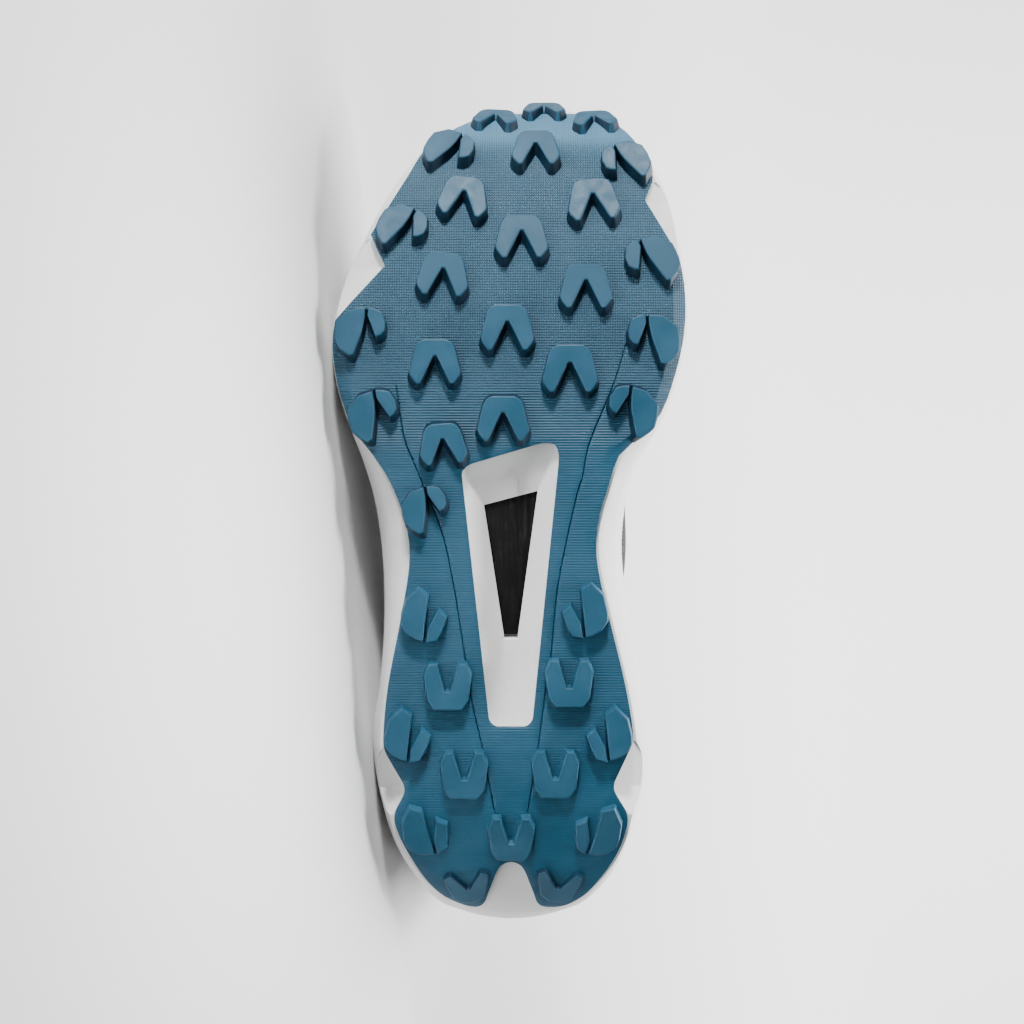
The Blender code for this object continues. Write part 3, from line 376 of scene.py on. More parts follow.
def plate():
    f = Finish("woven_plate", (0.004, 0.004, 0.005), 0.50, Specular_IOR_Level=0.15)
    place = f.place()
    streaks = f.noise(f.place((0.10, 1, 1)), 700.0, 5.0, 0.75)
    patches = f.noise(place, 130.0, 4.0, 0.6)
    share = f.sum(f.fade(streaks, 0.42, 0.70), f.fade(patches, 0.35, 0.70, 0.25, 1.0), "MULTIPLY")
    f.colour(f.mix(share, (0.0018, 0.0018, 0.002), (0.014, 0.014, 0.016)))
    f.bump(f.sum(streaks, f.sum(patches, 0.5, "MULTIPLY")), 0.00010)
    f.rough(f.fade(streaks, 0.3, 0.7, 0.40, 0.60))
    return f.material


FOAM = foam()
PLATE = plate()
print("sole core:", FOAM.name, PLATE.name)

# %% [markdown]
# The knit is black yarn with white flecks. Real knit is rows of small loops, so its bump is two
# crossed waves, and the flecks are streaks that run with the rows. Its net, written as a UV map
# in metres, follows the shoe from the heel seam round to the toe and from the sole up.

# %% Cloth finishes
YARN_BLACK = (0.012, 0.012, 0.014)
YARN_WHITE = (0.42, 0.42, 0.43)


def knit():
    f = Finish("heathered_knit", YARN_BLACK, 0.88, Sheen_Weight=0.25, Sheen_Roughness=0.5)
    rows = f.ribs(f.net(), 0.0013, "Y")
    loops = f.ribs(f.net(), 0.0017, "X", distortion=0.6)
    flecks = f.noise(f.net((1.0, 3.4, 1.0), (0, 0, 0.5)), 240.0, 3.0, 0.65)
    patches = f.noise(f.net((1.0, 1.6, 1.0)), 46.0, 2.0)
    share = f.sum(f.fade(flecks, 0.60, 0.66), f.fade(patches, 0.38, 0.62, 0.25, 1.0), "MULTIPLY")
    f.colour(f.mix(share, YARN_BLACK, YARN_WHITE))
    f.bump(f.sum(f.sum(rows, loops, "MULTIPLY"), f.sum(share, 0.4, "MULTIPLY")), 0.00035)
    return f.material


def lining():
    f = Finish("brushed_lining", (0.030, 0.031, 0.034), 0.92, Sheen_Weight=0.35, Sheen_Roughness=0.6)
    place = f.place()
    pile = f.noise(place, 1800.0, 4.0)
    f.colour(f.mix(f.fade(pile, 0.35, 0.75), (0.024, 0.025, 0.028), (0.055, 0.056, 0.060)))
    f.bump(pile, 0.00018)
    return f.material


def film():
    f = Finish("welded_film", (0.016, 0.018, 0.020), 0.38, Coat_Weight=0.2, Coat_Roughness=0.35)
    grain = f.noise(f.place(), 700.0, 3.0)
    f.bump(grain, 0.00006)
    f.rough(f.fade(grain, 0.3, 0.7, 0.34, 0.48))
    return f.material


def woven_lace():
    f = Finish("woven_lace", (0.55, 0.56, 0.55), 0.80, Sheen_Weight=0.2)
    place = f.net()
    braid = f.sum(f.ribs(place, 0.0009, "X"), f.ribs(place, 0.0008, "Y"), "MULTIPLY")
    # Painted shade: the lace is coloured darker where the braid's bump is low, in the weave's hollows.
    f.colour(f.mix(braid, (0.34, 0.35, 0.35), (0.62, 0.63, 0.62)))
    f.bump(braid, 0.00020)
    return f.material


def stitch_thread():
    f = Finish("stitch_thread", (0.10, 0.34, 0.42), 0.6, Sheen_Weight=0.2)
    f.bump(f.noise(f.place(), 3500.0, 2.0), 0.00005)
    return f.material


KNIT = knit()
LINING = lining()
FILM = film()
LACE = woven_lace()
THREAD = stitch_thread()
print("cloth:", KNIT.name, LINING.name, FILM.name, LACE.name, THREAD.name)

# %% [markdown]
# The floor and wall are plain matt paper.

# %% Studio paper


def paper():
    f = Finish("studio_paper", (0.80, 0.80, 0.80), 0.9)
    f.shader.inputs["Specular IOR Level"].default_value = 0.1
    return f.material


STUDIO.data.materials.append(paper())
print("studio:", STUDIO.data.materials[0].name)

# %% [markdown]
# The sole's plan is given by half-widths at stations along the shoe, as a last maker would give
# them. Each row is a share of the length and two shares of the ball width, so the outline keeps its
# character at any size. A smooth curve is read through the rows.

# %% Outlines and how to read them


def table(names, rows):
    return {name: [row[i] for row in rows] for i, name in enumerate(names.split())}


def smooth(rows, name, at, key="station"):
    xs, ys = rows[key], rows[name]
    at = min(max(at, xs[0]), xs[-1])
    i = max(k for k in range(len(xs) - 1) if xs[k] <= at)
    lean = [
        (ys[min(k + 1, len(xs) - 1)] - ys[max(k - 1, 0)]) / (xs[min(k + 1, len(xs) - 1)] - xs[max(k - 1, 0)])
        for k in (i, i + 1)
    ]
    step = xs[i + 1] - xs[i]
    w = (at - xs[i]) / step
    return (
        ys[i] * (1 + 2 * w) * (1 - w) ** 2
        + ys[i + 1] * w * w * (3 - 2 * w)
        + step * (lean[0] * w * (1 - w) ** 2 - lean[1] * w * w * (1 - w))
    )


def blend(a, b, share):
    return a + (b - a) * share


def curve_point(points, i, w):
    """A point between the ith and the next of some points, on the smooth curve through them all."""
    before, a, b = points[max(i - 1, 0)], points[i], points[i + 1]
    after = points[min(i + 2, len(points) - 1)]
    return 0.5 * (
        2 * a + (b - before) * w + (2 * before - 5 * a + 4 * b - after) * w * w
        + (3 * a - before - 3 * b + after) * w ** 3
    )


TREAD_EDGE = table("station lateral medial", [
    (0.018, 0.120, 0.150), (0.031, 0.188, 0.204), (0.051, 0.238, 0.248), (0.080, 0.284, 0.296),
    (0.111, 0.322, 0.327), (0.160, 0.352, 0.346), (0.216, 0.364, 0.352), (0.283, 0.352, 0.329),
    (0.359, 0.318, 0.286), (0.435, 0.289, 0.246), (0.480, 0.299, 0.248), (0.530, 0.344, 0.282),
    (0.565, 0.398, 0.314), (0.587, 0.440, 0.376), (0.610, 0.468, 0.426), (0.650, 0.497, 0.464),
    (0.702, 0.510, 0.494), (0.755, 0.484, 0.500), (0.802, 0.440, 0.483), (0.850, 0.371, 0.446),
    (0.898, 0.302, 0.410), (0.939, 0.243, 0.372), (0.961, 0.176, 0.334), (0.977, 0.105, 0.284),
    (0.986, 0.045, 0.240),
])
WIDEST_EDGE = table("station lateral medial", [
    (0.006, 0.125, 0.132), (0.018, 0.200, 0.206), (0.051, 0.275, 0.284), (0.081, 0.320, 0.324),
    (0.120, 0.357, 0.357), (0.180, 0.390, 0.390), (0.228, 0.399, 0.397), (0.285, 0.380, 0.380),
    (0.343, 0.368, 0.354), (0.401, 0.366, 0.330), (0.458, 0.374, 0.320), (0.516, 0.397, 0.336),
    (0.560, 0.430, 0.374), (0.600, 0.468, 0.430), (0.650, 0.504, 0.477), (0.704, 0.517, 0.508),
    (0.763, 0.489, 0.511), (0.822, 0.428, 0.489), (0.882, 0.354, 0.453), (0.930, 0.272, 0.398),
    (0.958, 0.190, 0.340), (0.974, 0.110, 0.280), (0.980, 0.060, 0.240),
])
RIM_EDGE = table("station lateral medial", [
    (0.014, 0.110, 0.115), (0.030, 0.196, 0.202), (0.060, 0.258, 0.263), (0.110, 0.315, 0.315),
    (0.180, 0.346, 0.342), (0.260, 0.342, 0.330), (0.340, 0.332, 0.318), (0.430, 0.334, 0.304),
    (0.520, 0.364, 0.316), (0.600, 0.420, 0.386), (0.670, 0.458, 0.446), (0.740, 0.455, 0.470),
    (0.810, 0.404, 0.452), (0.870, 0.336, 0.416), (0.920, 0.258, 0.362), (0.948, 0.190, 0.312),
    (0.962, 0.120, 0.258), (0.968, 0.060, 0.215),
])
print("widest half-widths:", max(TREAD_EDGE["lateral"]), max(TREAD_EDGE["medial"]))

# %% [markdown]
# From the side the tread is a rocker: flat under heel and ball, bevelled at the heel's end, and
# sprung at the toe, where it also rolls up. At the ball its edges turn up the foam's side a little.
# One height function says all that, and a second gives a point any distance out from the surface,
# which places lugs, grooves and the foam's underside alike.

# %% The tread's surface
LUG_HEIGHT = 0.0045
TOE_SPRING = 0.032
TOE_ROLL = 0.014
HEEL_BEVEL = 0.014
HEEL_ROLL = 0.006
SIDE_ROLL = 0.0030
SIDE_ROLL_WIDTH = 0.0042
RUBBER = 0.0020
GAP = 0.0003


def sole_height(x, y, rolled=1.0):
    """The tread's height, with its side edges turned up in full or in part."""
    t = x / LENGTH
    height = LUG_HEIGHT
    height += TOE_SPRING * max(0.0, (t - 0.62) / 0.38) ** 2.1
    height += TOE_ROLL * max(0.0, (t - 0.88) / 0.115) ** 3
    height += HEEL_BEVEL * max(0.0, (0.20 - t) / 0.20) ** 2.2
    height += HEEL_ROLL * max(0.0, (0.07 - t) / 0.07) ** 2
    edge = smooth(TREAD_EDGE, "medial" if y > 0 else "lateral", t) * BALL_WIDTH
    ball = max(0.0, 1 - abs(t - 0.70) / 0.17)
    inside = (edge - abs(y)) / SIDE_ROLL_WIDTH
    return height + SIDE_ROLL * rolled * min(1.0, 2 * ball) * max(0.0, 1 - inside)


def on_sole(x, y, out, rolled=1.0):
    step = 0.0005
    dx = (sole_height(x + step, y, rolled) - sole_height(x - step, y, rolled)) / (2 * step)
    dy = (sole_height(x, y + step, rolled) - sole_height(x, y - step, rolled)) / (2 * step)
    return Vector((x, y, sole_height(x, y, rolled))) + Vector((dx, dy, -1)).normalized() * out


print("tread heights in mm:", [round(sole_height(t * LENGTH, 0) * 1000, 1) for t in (0, 0.1, 0.5, 0.8, 0.98)])

# %% [markdown]
# Every mesh is gathered in the shoe's frame and laid down at the end. When a piece is settled, its
# modifiers are applied and each point's place is written on it for the materials.

# %% Gathering and settling meshes
PIECES = bpy.data.collections.new("trail_running_shoe")
bpy.context.scene.collection.children.link(PIECES)


class Skin:
    """Points, faces, a finish number for each face, and a net coordinate for each point."""

    def __init__(self):
        self.points = []
        self.faces = []
        self.finish = []
        self.nets = []

    def point(self, p, net=(0.0, 0.0)):
        self.points.append(tuple(p))
        self.nets.append(net)
        return len(self.points) - 1

    def face(self, numbers, finish=0):
        self.faces.append(tuple(numbers))
        self.finish.append(finish)

    def strip(self, low, high, closed=True, finish=0):
        count = len(low)
        for j in range(count if closed else count - 1):
            k = (j + 1) % count
            self.face((low[j], low[k], high[k], high[j]), finish)

    def grid(self, rows, finish=0, nets=None):
        numbers = [
            [self.point(p, nets[i][k] if nets else (0.0, 0.0)) for k, p in enumerate(row)]
            for i, row in enumerate(rows)
        ]
        for low, high in zip(numbers, numbers[1:]):
            self.strip(low, high, closed=False, finish=finish)
        return numbers

    def build(self, name, *finishes):
        mesh = bpy.data.meshes.new(name)
        mesh.from_pydata(self.points, [], self.faces)
        for finish in finishes:
            mesh.materials.append(finish)
        mesh.polygons.foreach_set("material_index", self.finish)
        net = mesh.uv_layers.new(name="net")
        net.data.foreach_set("uv", [c for loop in mesh.loops for c in self.nets[loop.vertex_index]])
        work = bmesh.new()
        work.from_mesh(mesh)
        bmesh.ops.recalc_face_normals(work, faces=work.faces)
        work.to_mesh(mesh)
        work.free()
        mesh.update()
        piece = bpy.data.objects.new(name, mesh)
        PIECES.objects.link(piece)
        return piece


def cut(piece, other):
    """A step that takes another object's form out of a piece."""
    if other.name not in PIECES.objects:
        PIECES.objects.link(other)
    step = piece.modifiers.new("difference", "BOOLEAN")
    step.operation = "DIFFERENCE"
    step.solver = "EXACT"
    step.object = other
    return other


def settle(piece, slot, *nodes, sharp=35, guides=()):
    """Applies a piece's steps, lays it down under the root, and hides the solids that it replaces; the slot
    is not used.
    """
    view = bpy.context.evaluated_depsgraph_get()
    view.update()
    mesh = bpy.data.meshes.new_from_object(piece.evaluated_get(view))
    for guide in guides:
        bpy.data.objects.remove(guide)
    piece.modifiers.clear()
    piece.data = mesh
    spots = [c for v in mesh.vertices for c in v.co]
    mesh.attributes.new("place", "FLOAT_VECTOR", "POINT").data.foreach_set("vector", spots)
    mesh.transform(SHOE)
    mesh.shade_smooth()
    mesh.set_sharp_from_angle(angle=math.radians(sharp))
    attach(piece, "root")
    if nodes:
        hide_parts(*nodes)
    print(piece.name, "has", len(mesh.polygons), "faces")
    return piece


print("collection:", PIECES.name)

# %% [markdown]
# The rubber's outline has four notches at the sides, a gap at the end of the heel and the window
# under the arch. They are straight cuts with a few corners each, set on the smooth edge, and the
# corners round the heel are eased afterwards, as they are in the photograph.

# %% The rubber's outline
NOTCHES = table("side start tip end reach rise", [
    (-1, 0.724, 0.790, 0.828, 0.360, 0.013),
    (+1, 0.802, 0.871, 0.897, 0.386, 0.012),
    (-1, 0.132, 0.164, 0.212, 0.297, 0.014),
    (+1, 0.132, 0.166, 0.222, 0.288, 0.014),
])
HEEL_GATE = table("station offset", [(0.000, 0.100), (0.031, 0.070), (0.068, 0.038), (0.076, 0.022)])
WINDOW = table("station offset", [
    (0.246, -0.062), (0.239, -0.046), (0.239, 0.046), (0.246, 0.062),
    (0.562, 0.138), (0.576, 0.128), (0.577, 0.090), (0.551, -0.120), (0.543, -0.141),
])


def in_metres(rows):
    return [(t * LENGTH, offset * BALL_WIDTH) for t, offset in zip(rows["station"], rows["offset"])]


def tread_side(side, count):
    name = "medial" if side > 0 else "lateral"
    first, last = TREAD_EDGE["station"][0], TREAD_EDGE["station"][-1]
    stations = [blend(first, last, 0.5 - 0.5 * math.cos(math.pi * k / (count - 1))) for k in range(count)]
    notches = [row for row in zip(*NOTCHES.values()) if row[0] == side]
    points = []
    for t in stations:
        if not any(start - 0.004 < t < end + 0.004 for _, start, _, end, _, _ in notches):
            points.append((t, smooth(TREAD_EDGE, name, t)))
    for _, start, tip, end, reach, _ in notches:
        points += [(start, smooth(TREAD_EDGE, name, start)), (tip, reach)]
        points += [(end, smooth(TREAD_EDGE, name, end))]
    return [(t * LENGTH, side * offset * BALL_WIDTH) for t, offset in sorted(points)]


def rounded(corners, radius, steps=4):
    """Turns each corner of a closed outline into a short curve."""
    line = []
    for i, corner in enumerate(corners):
        here, before, after = (Vector(corners[n % len(corners)]) for n in (i, i - 1, i + 1))
        back, on = before - here, after - here
        reach = min(radius, back.length * 0.45, on.length * 0.45)
        a, b = here + back.normalized() * reach, here + on.normalized() * reach
        for n in range(steps + 1):
            w = n / steps
            line.append(tuple(a * (1 - w) ** 2 + here * 2 * w * (1 - w) + b * w * w))
    return line


def resampled(outline, pitch):
    """Adds points so that no side of a closed outline is longer than a pitch."""
    line = []
    for a, b in zip(outline, outline[1:] + outline[:1]):
        a, b = Vector(a), Vector(b)
        steps = max(1, math.ceil((b - a).length / pitch))
        line += [tuple(a.lerp(b, n / steps)) for n in range(steps)]
    return line


def eased(outline, reach, until, pitch=0.0006):
    """Rounds the corners of a closed outline behind one x, by averaging along its length."""
    corners = [Vector(p) for p in outline]
    line, ahead = [], 0.0
    for a, b in zip(corners, corners[1:] + corners[:1]):
        run = (b - a).length
        while ahead < run:
            line.append(a.lerp(b, ahead / run))
            ahead += pitch
        ahead -= run
    count = len(line)
    near = range(-round(reach / pitch), round(reach / pitch) + 1)
    soft = [sum((line[(i + k) % count] for k in near), Vector((0, 0))) / len(near) for i in range(count)]
    return [tuple(q if p.x < until else p) for p, q in zip(line, soft)]


def gate_outline():
    side = in_metres(HEEL_GATE)
    return [(x, -y) for x, y in side] + list(reversed(side))


LATERAL_SIDE = tread_side(-1, 90)
MEDIAL_SIDE = tread_side(1, 90)
TREAD_OUTLINE = LATERAL_SIDE + list(reversed(MEDIAL_SIDE))
WINDOW_OUTLINE = rounded(in_metres(WINDOW), 0.0030)
print("outline corners:", len(TREAD_OUTLINE), "window corners:", len(WINDOW_OUTLINE))

# %% [markdown]
# Two thin flex grooves run from the ball to the heel. Each is a curve through a few stations, and
# the sheet dips where it is near one.

# %% The flex grooves
GROOVES = (
    [(0.642, -0.326), (0.584, -0.304), (0.541, -0.264), (0.475, -0.200), (0.414, -0.166),
     (0.326, -0.132), (0.269, -0.111), (0.215, -0.082), (0.173, -0.063), (0.136, -0.046)],
    [(0.702, 0.334), (0.644, 0.290), (0.578, 0.225), (0.538, 0.205), (0.509, 0.185),
     (0.411, 0.136), (0.326, 0.115), (0.284, 0.100), (0.215, 0.078), (0.175, 0.063), (0.136, 0.048)],
)
GROOVE_HALF = 0.00028
GROOVE_DEPTH = 0.0008


def groove_line(rows, pitch):
    """A smooth line through a groove's stations, with a point every pitch."""
    spots = [Vector((t * LENGTH, v * BALL_WIDTH)) for t, v in rows]
    line = []
    for i in range(len(spots) - 1):
        steps = max(1, round((spots[i + 1] - spots[i]).length / pitch))
        line += [curve_point(spots, i, n / steps) for n in range(steps)]
    return line + [spots[-1]]


GROOVE_LINES = [groove_line(rows, 0.0006) for rows in GROOVES]
groove_tree = kdtree.KDTree(sum(len(line) for line in GROOVE_LINES))
for number, spot in enumerate(spot for line in GROOVE_LINES for spot in line):
    groove_tree.insert((*spot, 0), number)
groove_tree.balance()


def sheet_relief(x, y):
    """How far the rubber's face stands out from its plain form at one place."""
    near = groove_tree.find((x, y, 0))[2] / GROOVE_HALF
    return -GROOVE_DEPTH * max(0.0, 1 - near * near)


print("groove points:", [len(line) for line in GROOVE_LINES])

# %% [markdown]
# The sheet itself is a flat triangulation of its outline, with the window and the heel's gap left
# out, laid on the tread's surface and given its 2 mm. Blender's Delaunay call keeps the outline
# exact and fills it with evenly spaced points, closer together beside the grooves.

# %% Make the rubber sheet
SHEET_PITCH = 0.0024
HEEL_CORNER = 0.0030
HEEL_CORNER_END = 0.10


def inside(point, outline):
    x, y = point
    crossings = 0
    for (ax, ay), (bx, by) in zip(outline, outline[1:] + outline[:1]):
        if (ay > y) != (by > y) and x < ax + (y - ay) * (bx - ax) / (by - ay):
            crossings += 1
    return crossings % 2 == 1


def with_gate(outline):
    """The heel's gap taken out of the tread's outline."""
    gate = gate_outline()
    kept = [p for p in outline if not (p[0] < 0.03 and abs(p[1]) < 0.0105)]
    lateral = [p for p in kept if p[1] < 0]
    medial = [p for p in kept if p[1] >= 0]
    entry = (lateral[0][0], -0.0096), (medial[-1][0], 0.0096)
    return lateral + medial + [entry[1]] + list(reversed(gate))[1:-1] + [entry[0]]


def sheet_points(outline, holes):
    """Points inside the sheet: an even pattern, and rows beside the grooves."""
    rims = [Vector((*p, 0)) for loop in [outline, *holes] for p in loop]
    near = kdtree.KDTree(len(rims))
    for number, spot in enumerate(rims):
        near.insert(spot, number)
    near.balance()
    spots = []
    for line in GROOVE_LINES:
        for a, b in zip(line[::2], line[2::2]):
            side = (b - a).orthogonal().normalized()
            spots += [a + side * GROOVE_HALF * n for n in (-1, -0.5, 0, 0.5, 1)]
    rows = int(LENGTH / SHEET_PITCH)
    columns = int(BALL_WIDTH / SHEET_PITCH / 2) + 2
    for i in range(rows):
        for k in range(-columns, columns + 1):
            spot = Vector((i * SHEET_PITCH, (k + 0.5 * (i % 2)) * SHEET_PITCH))
            if groove_tree.find((*spot, 0))[2] > GROOVE_HALF * 2.2:
                spots.append(spot)
    return [
        spot for spot in spots
        if near.find((*spot, 0))[2] > 0.0009 and inside(spot, outline)
        and not any(inside(spot, hole) for hole in holes)
    ]


def crease_lines():
    """Where the sheet's edges turn up beside the ball."""
    for side, name in ((-1, "lateral"), (1, "medial")):
        line = []
        for n in range(71):
            t = blend(0.535, 0.865, n / 70)
            offset = smooth(TREAD_EDGE, name, t) * BALL_WIDTH - SIDE_ROLL_WIDTH
            line.append(Vector((t * LENGTH, side * offset)))
        yield line


def make_sheet():
    outline = eased(with_gate(TREAD_OUTLINE), HEEL_CORNER, HEEL_CORNER_END)
    window = resampled(WINDOW_OUTLINE, 0.0018)
    loops = [outline, window]
    flat, edges = [], []
    for loop in loops:
        start = len(flat)
        flat += [Vector(p) for p in loop]
        edges += [(start + n, start + (n + 1) % len(loop)) for n in range(len(loop))]
    for line in crease_lines():
        start = len(flat)
        flat += line
        edges += [(start + n, start + n + 1) for n in range(len(line) - 1)]
    flat += sheet_points(outline, [window])
    spots, _, faces, *_ = geometry.delaunay_2d_cdt(flat, edges, [], 0, 1e-6)
    skin = Skin()
    for spot in spots:
        skin.point(on_sole(spot.x, spot.y, sheet_relief(spot.x, spot.y)), (spot.x, spot.y))
    for face in faces:
        middle = sum((spots[n] for n in face), Vector((0, 0))) / len(face)
        if inside(middle, outline) and not inside(middle, window):
            skin.face(face)
    sheet = skin.build("rubber_sheet", RIBBED)
    if sum(p.normal.z for p in sheet.data.polygons) > 0:
        sheet.data.flip_normals()
    wall = sheet.modifiers.new("wall", "SOLIDIFY")
    wall.thickness = RUBBER
    wall.offset = -1
    edge = sheet.modifiers.new("edge", "BEVEL")
    edge.width = 0.0004
    edge.segments = 2
    edge.limit_method = "ANGLE"
    edge.angle_limit = math.radians(60)
    return settle(sheet, "tread_rubber", "outsole", sharp=28)


make_sheet()

# %% [markdown]
# A lug is a chevron or a pair of legs with crisp edges. Its pad is flat and its sides are nearly
# upright, but the sides that face the heel slope out. The heel's lugs are turned round, and have
# squarer legs. At the very ends of the sole a pad sinks towards the edge until it stands about a
# millimetre high.

# %% Lug outlines and places
LUG_WIDTH = 0.0180
LUG_DRAFT = 0.0004
LUG_RAKE = 0.0022
LUG_ROOT = 0.0006
LUG_EDGE = 0.00040
CHEVRON = [
    (0.44, 0.86), (-0.44, 0.86), (-0.65, 0.75), (-0.78, 0.53), (-1.00, -0.36), (-0.94, -0.54),
    (-0.72, -0.82), (-0.59, -0.81), (-0.07, 0.25), (0.07, 0.25), (0.59, -0.81), (0.72, -0.82),
    (0.94, -0.54), (1.00, -0.36), (0.78, 0.53), (0.65, 0.75),
]
OUTER_LEG = [
    (-0.44, 0.90), (-0.94, 0.45), (-1.00, 0.00), (-0.98, -0.46), (-0.81, -0.71), (-0.50, -1.00),
    (-0.33, -0.95), (0.04, 0.06), (0.15, 0.60), (0.17, 0.95),
]
INNER_LEG = [
    (0.30, 0.97), (0.56, 0.91), (0.85, 0.77), (1.00, 0.36), (0.96, 0.03), (0.78, -0.16),
    (0.59, -0.23), (0.26, 0.62),
]
HEEL_CHEVRON = [
    (0.57, 0.98), (-0.57, 0.98), (-0.83, 0.63), (-1.00, -0.48), (-0.78, -0.94), (-0.46, -0.94),
    (-0.11, 0.20), (0.11, 0.20), (0.46, -0.94), (0.78, -0.94), (1.00, -0.48), (0.83, 0.63),
]
HEEL_OUTER_LEG = [
    (-0.26, -1.21), (0.17, -0.88), (-0.05, 1.11), (-0.34, 1.05), (-0.75, 0.82), (-1.00, 0.43),
    (-1.00, 0.08), (-0.82, -0.66),
]
HEEL_INNER_LEG = [
    (0.61, -0.27), (0.98, 0.08), (0.75, 0.70), (0.52, 1.09), (0.09, 1.18), (0.16, 0.54),
    (0.29, 0.33),
]
END_CHEVRON = [
    (0.70, 0.62), (0.30, 0.92), (-0.30, 0.92), (-0.70, 0.62), (-0.98, -0.30), (-1.00, -0.62),
    (-0.70, -0.78), (-0.06, 0.16), (0.06, 0.16), (0.70, -0.78), (1.00, -0.62), (0.98, -0.30),
]
LUG_OUTLINES = {
    "toe": [CHEVRON],
    "end": [END_CHEVRON],
    "centre": [CHEVRON],
    "edge": [OUTER_LEG, INNER_LEG],
    "heel": [HEEL_CHEVRON],
    "heel_edge": [HEEL_OUTER_LEG, HEEL_INNER_LEG],
}
LUGS = table("kind station offset width heading", [
    ("toe", 0.976, -0.045, 0.88, 6), ("toe", 0.989, 0.098, 0.84, 0), ("toe", 0.974, 0.245, 0.88, -6),
    ("centre", 0.928, 0.072, 0.94, 0), ("centre", 0.869, -0.136, 0.97, 8),
    ("centre", 0.865, 0.237, 1.02, -5), ("centre", 0.820, 0.031, 1.03, 0),
    ("centre", 0.775, -0.194, 1.00, 4), ("centre", 0.761, 0.214, 1.02, 0),
    ("centre", 0.712, -0.010, 1.03, 0), ("centre", 0.672, -0.216, 0.99, 0),
    ("centre", 0.664, 0.168, 1.06, 0), ("centre", 0.605, -0.022, 1.01, 0),
    ("centre", 0.575, -0.193, 0.92, -5),
    ("edge", 0.927, -0.180, 0.92, 26), ("edge", 0.832, -0.312, 0.93, 22),
    ("edge", 0.708, -0.426, 0.94, 0), ("edge", 0.610, -0.389, 0.94, -14),
    ("edge", 0.498, -0.244, 0.88, -14), ("edge", 0.912, 0.334, 0.90, -22),
    ("edge", 0.792, 0.402, 0.97, -16), ("edge", 0.699, 0.404, 0.97, 0),
    ("edge", 0.615, 0.344, 0.94, 12), ("heel_edge", 0.371, -0.246, 0.88, 180),
    ("heel_edge", 0.377, 0.210, 0.89, 180), ("heel", 0.287, -0.180, 0.92, 180),
    ("heel", 0.291, 0.166, 0.93, 180), ("heel_edge", 0.229, -0.293, 0.88, 180),
    ("heel_edge", 0.230, 0.279, 0.88, 180), ("heel", 0.182, -0.133, 0.92, 180),
    ("heel", 0.183, 0.127, 0.92, 180), ("heel_edge", 0.116, -0.243, 0.90, 158),
    ("heel_edge", 0.116, 0.248, 0.90, 202), ("heel", 0.106, 0.001, 0.90, 180),
    ("end", 0.047, -0.124, 0.86, 172), ("end", 0.048, 0.136, 0.86, 188),
])
TOE_LUG_FEET = 0.70
TOE_LUG_TIP = 0.25
HEEL_SINK = 0.40
LOW_LUG_SINK = 0.70
END_HORNS = 0.62
END_SINK = 0.20


def offset_outline(outline, distance_of):
    """Moves each side of an outline out by the distance that its outward direction calls for."""
    count = len(outline)
    area = sum(
        outline[i][0] * outline[(i + 1) % count][1] - outline[(i + 1) % count][0] * outline[i][1]
        for i in range(count)
    )
    sides = []
    for i in range(count):
        (ax, ay), (bx, by) = outline[i], outline[(i + 1) % count]
        long = math.hypot(bx - ax, by - ay)
        nx, ny = (by - ay) / long, (ax - bx) / long
        if area < 0:
            nx, ny = -nx, -ny
        sides.append((nx, ny, nx * ax + ny * ay + distance_of(nx, ny)))
    moved = []
    for i in range(count):
        (a, b, c), (d, e, f) = sides[i - 1], sides[i]
        size = a * e - b * d
        moved.append(((c * e - b * f) / size, (a * f - c * d) / size))
    return moved


print("lugs:", len(LUGS["kind"]))

# %% [markdown]
# Each block is made on a flat floor, where Blender's bevel can round its edges, and then bent onto
# the tread. A side that slopes out by a distance that depends on where it faces moves in straight
# lines, so corners stay corners. Sides that would cross at the foot close to a narrow edge.

# %% Make the lugs


def draft_of(kind, t, outward):
    """How far a side's foot stands out from its top, by where the side faces."""
    if kind == "end":
        return lambda nx, ny: LUG_DRAFT + 0.0004 * max(0.0, ny)
    heel_ward = 0.0006 if kind.startswith("heel") else LUG_RAKE
    toe_ward = 0.0012 if 0.57 < t < 0.62 else 0.0
    steep = 0.8 if kind == "edge" else 0.0

    def draft(nx, ny):
        slope = heel_ward * max(0.0, -ny) ** 0.6 + toe_ward * max(0.0, ny - 0.3)
        return LUG_DRAFT + slope * (1 - steep * max(0.0, nx * outward))

    return draft


def pad_rise(kind, t, py):
    """A pad's height at one point, as a share of the full height."""
    if kind == "toe":
        return blend(TOE_LUG_FEET, TOE_LUG_TIP, (py + 0.8) / 1.6)
    if kind == "end":
        return blend(END_HORNS, END_SINK, min(1.0, max(0.0, (py + 0.8) / 1.6)))
    if t < 0.13:
        return blend(1.0, HEEL_SINK, min(1.0, max(0.0, (py + 1.0) / 2.0)))
    if t < 0.22:
        return blend(1.0, LOW_LUG_SINK, min(1.0, max(0.0, (py + 1.0) / 2.0)))
    return 1.0


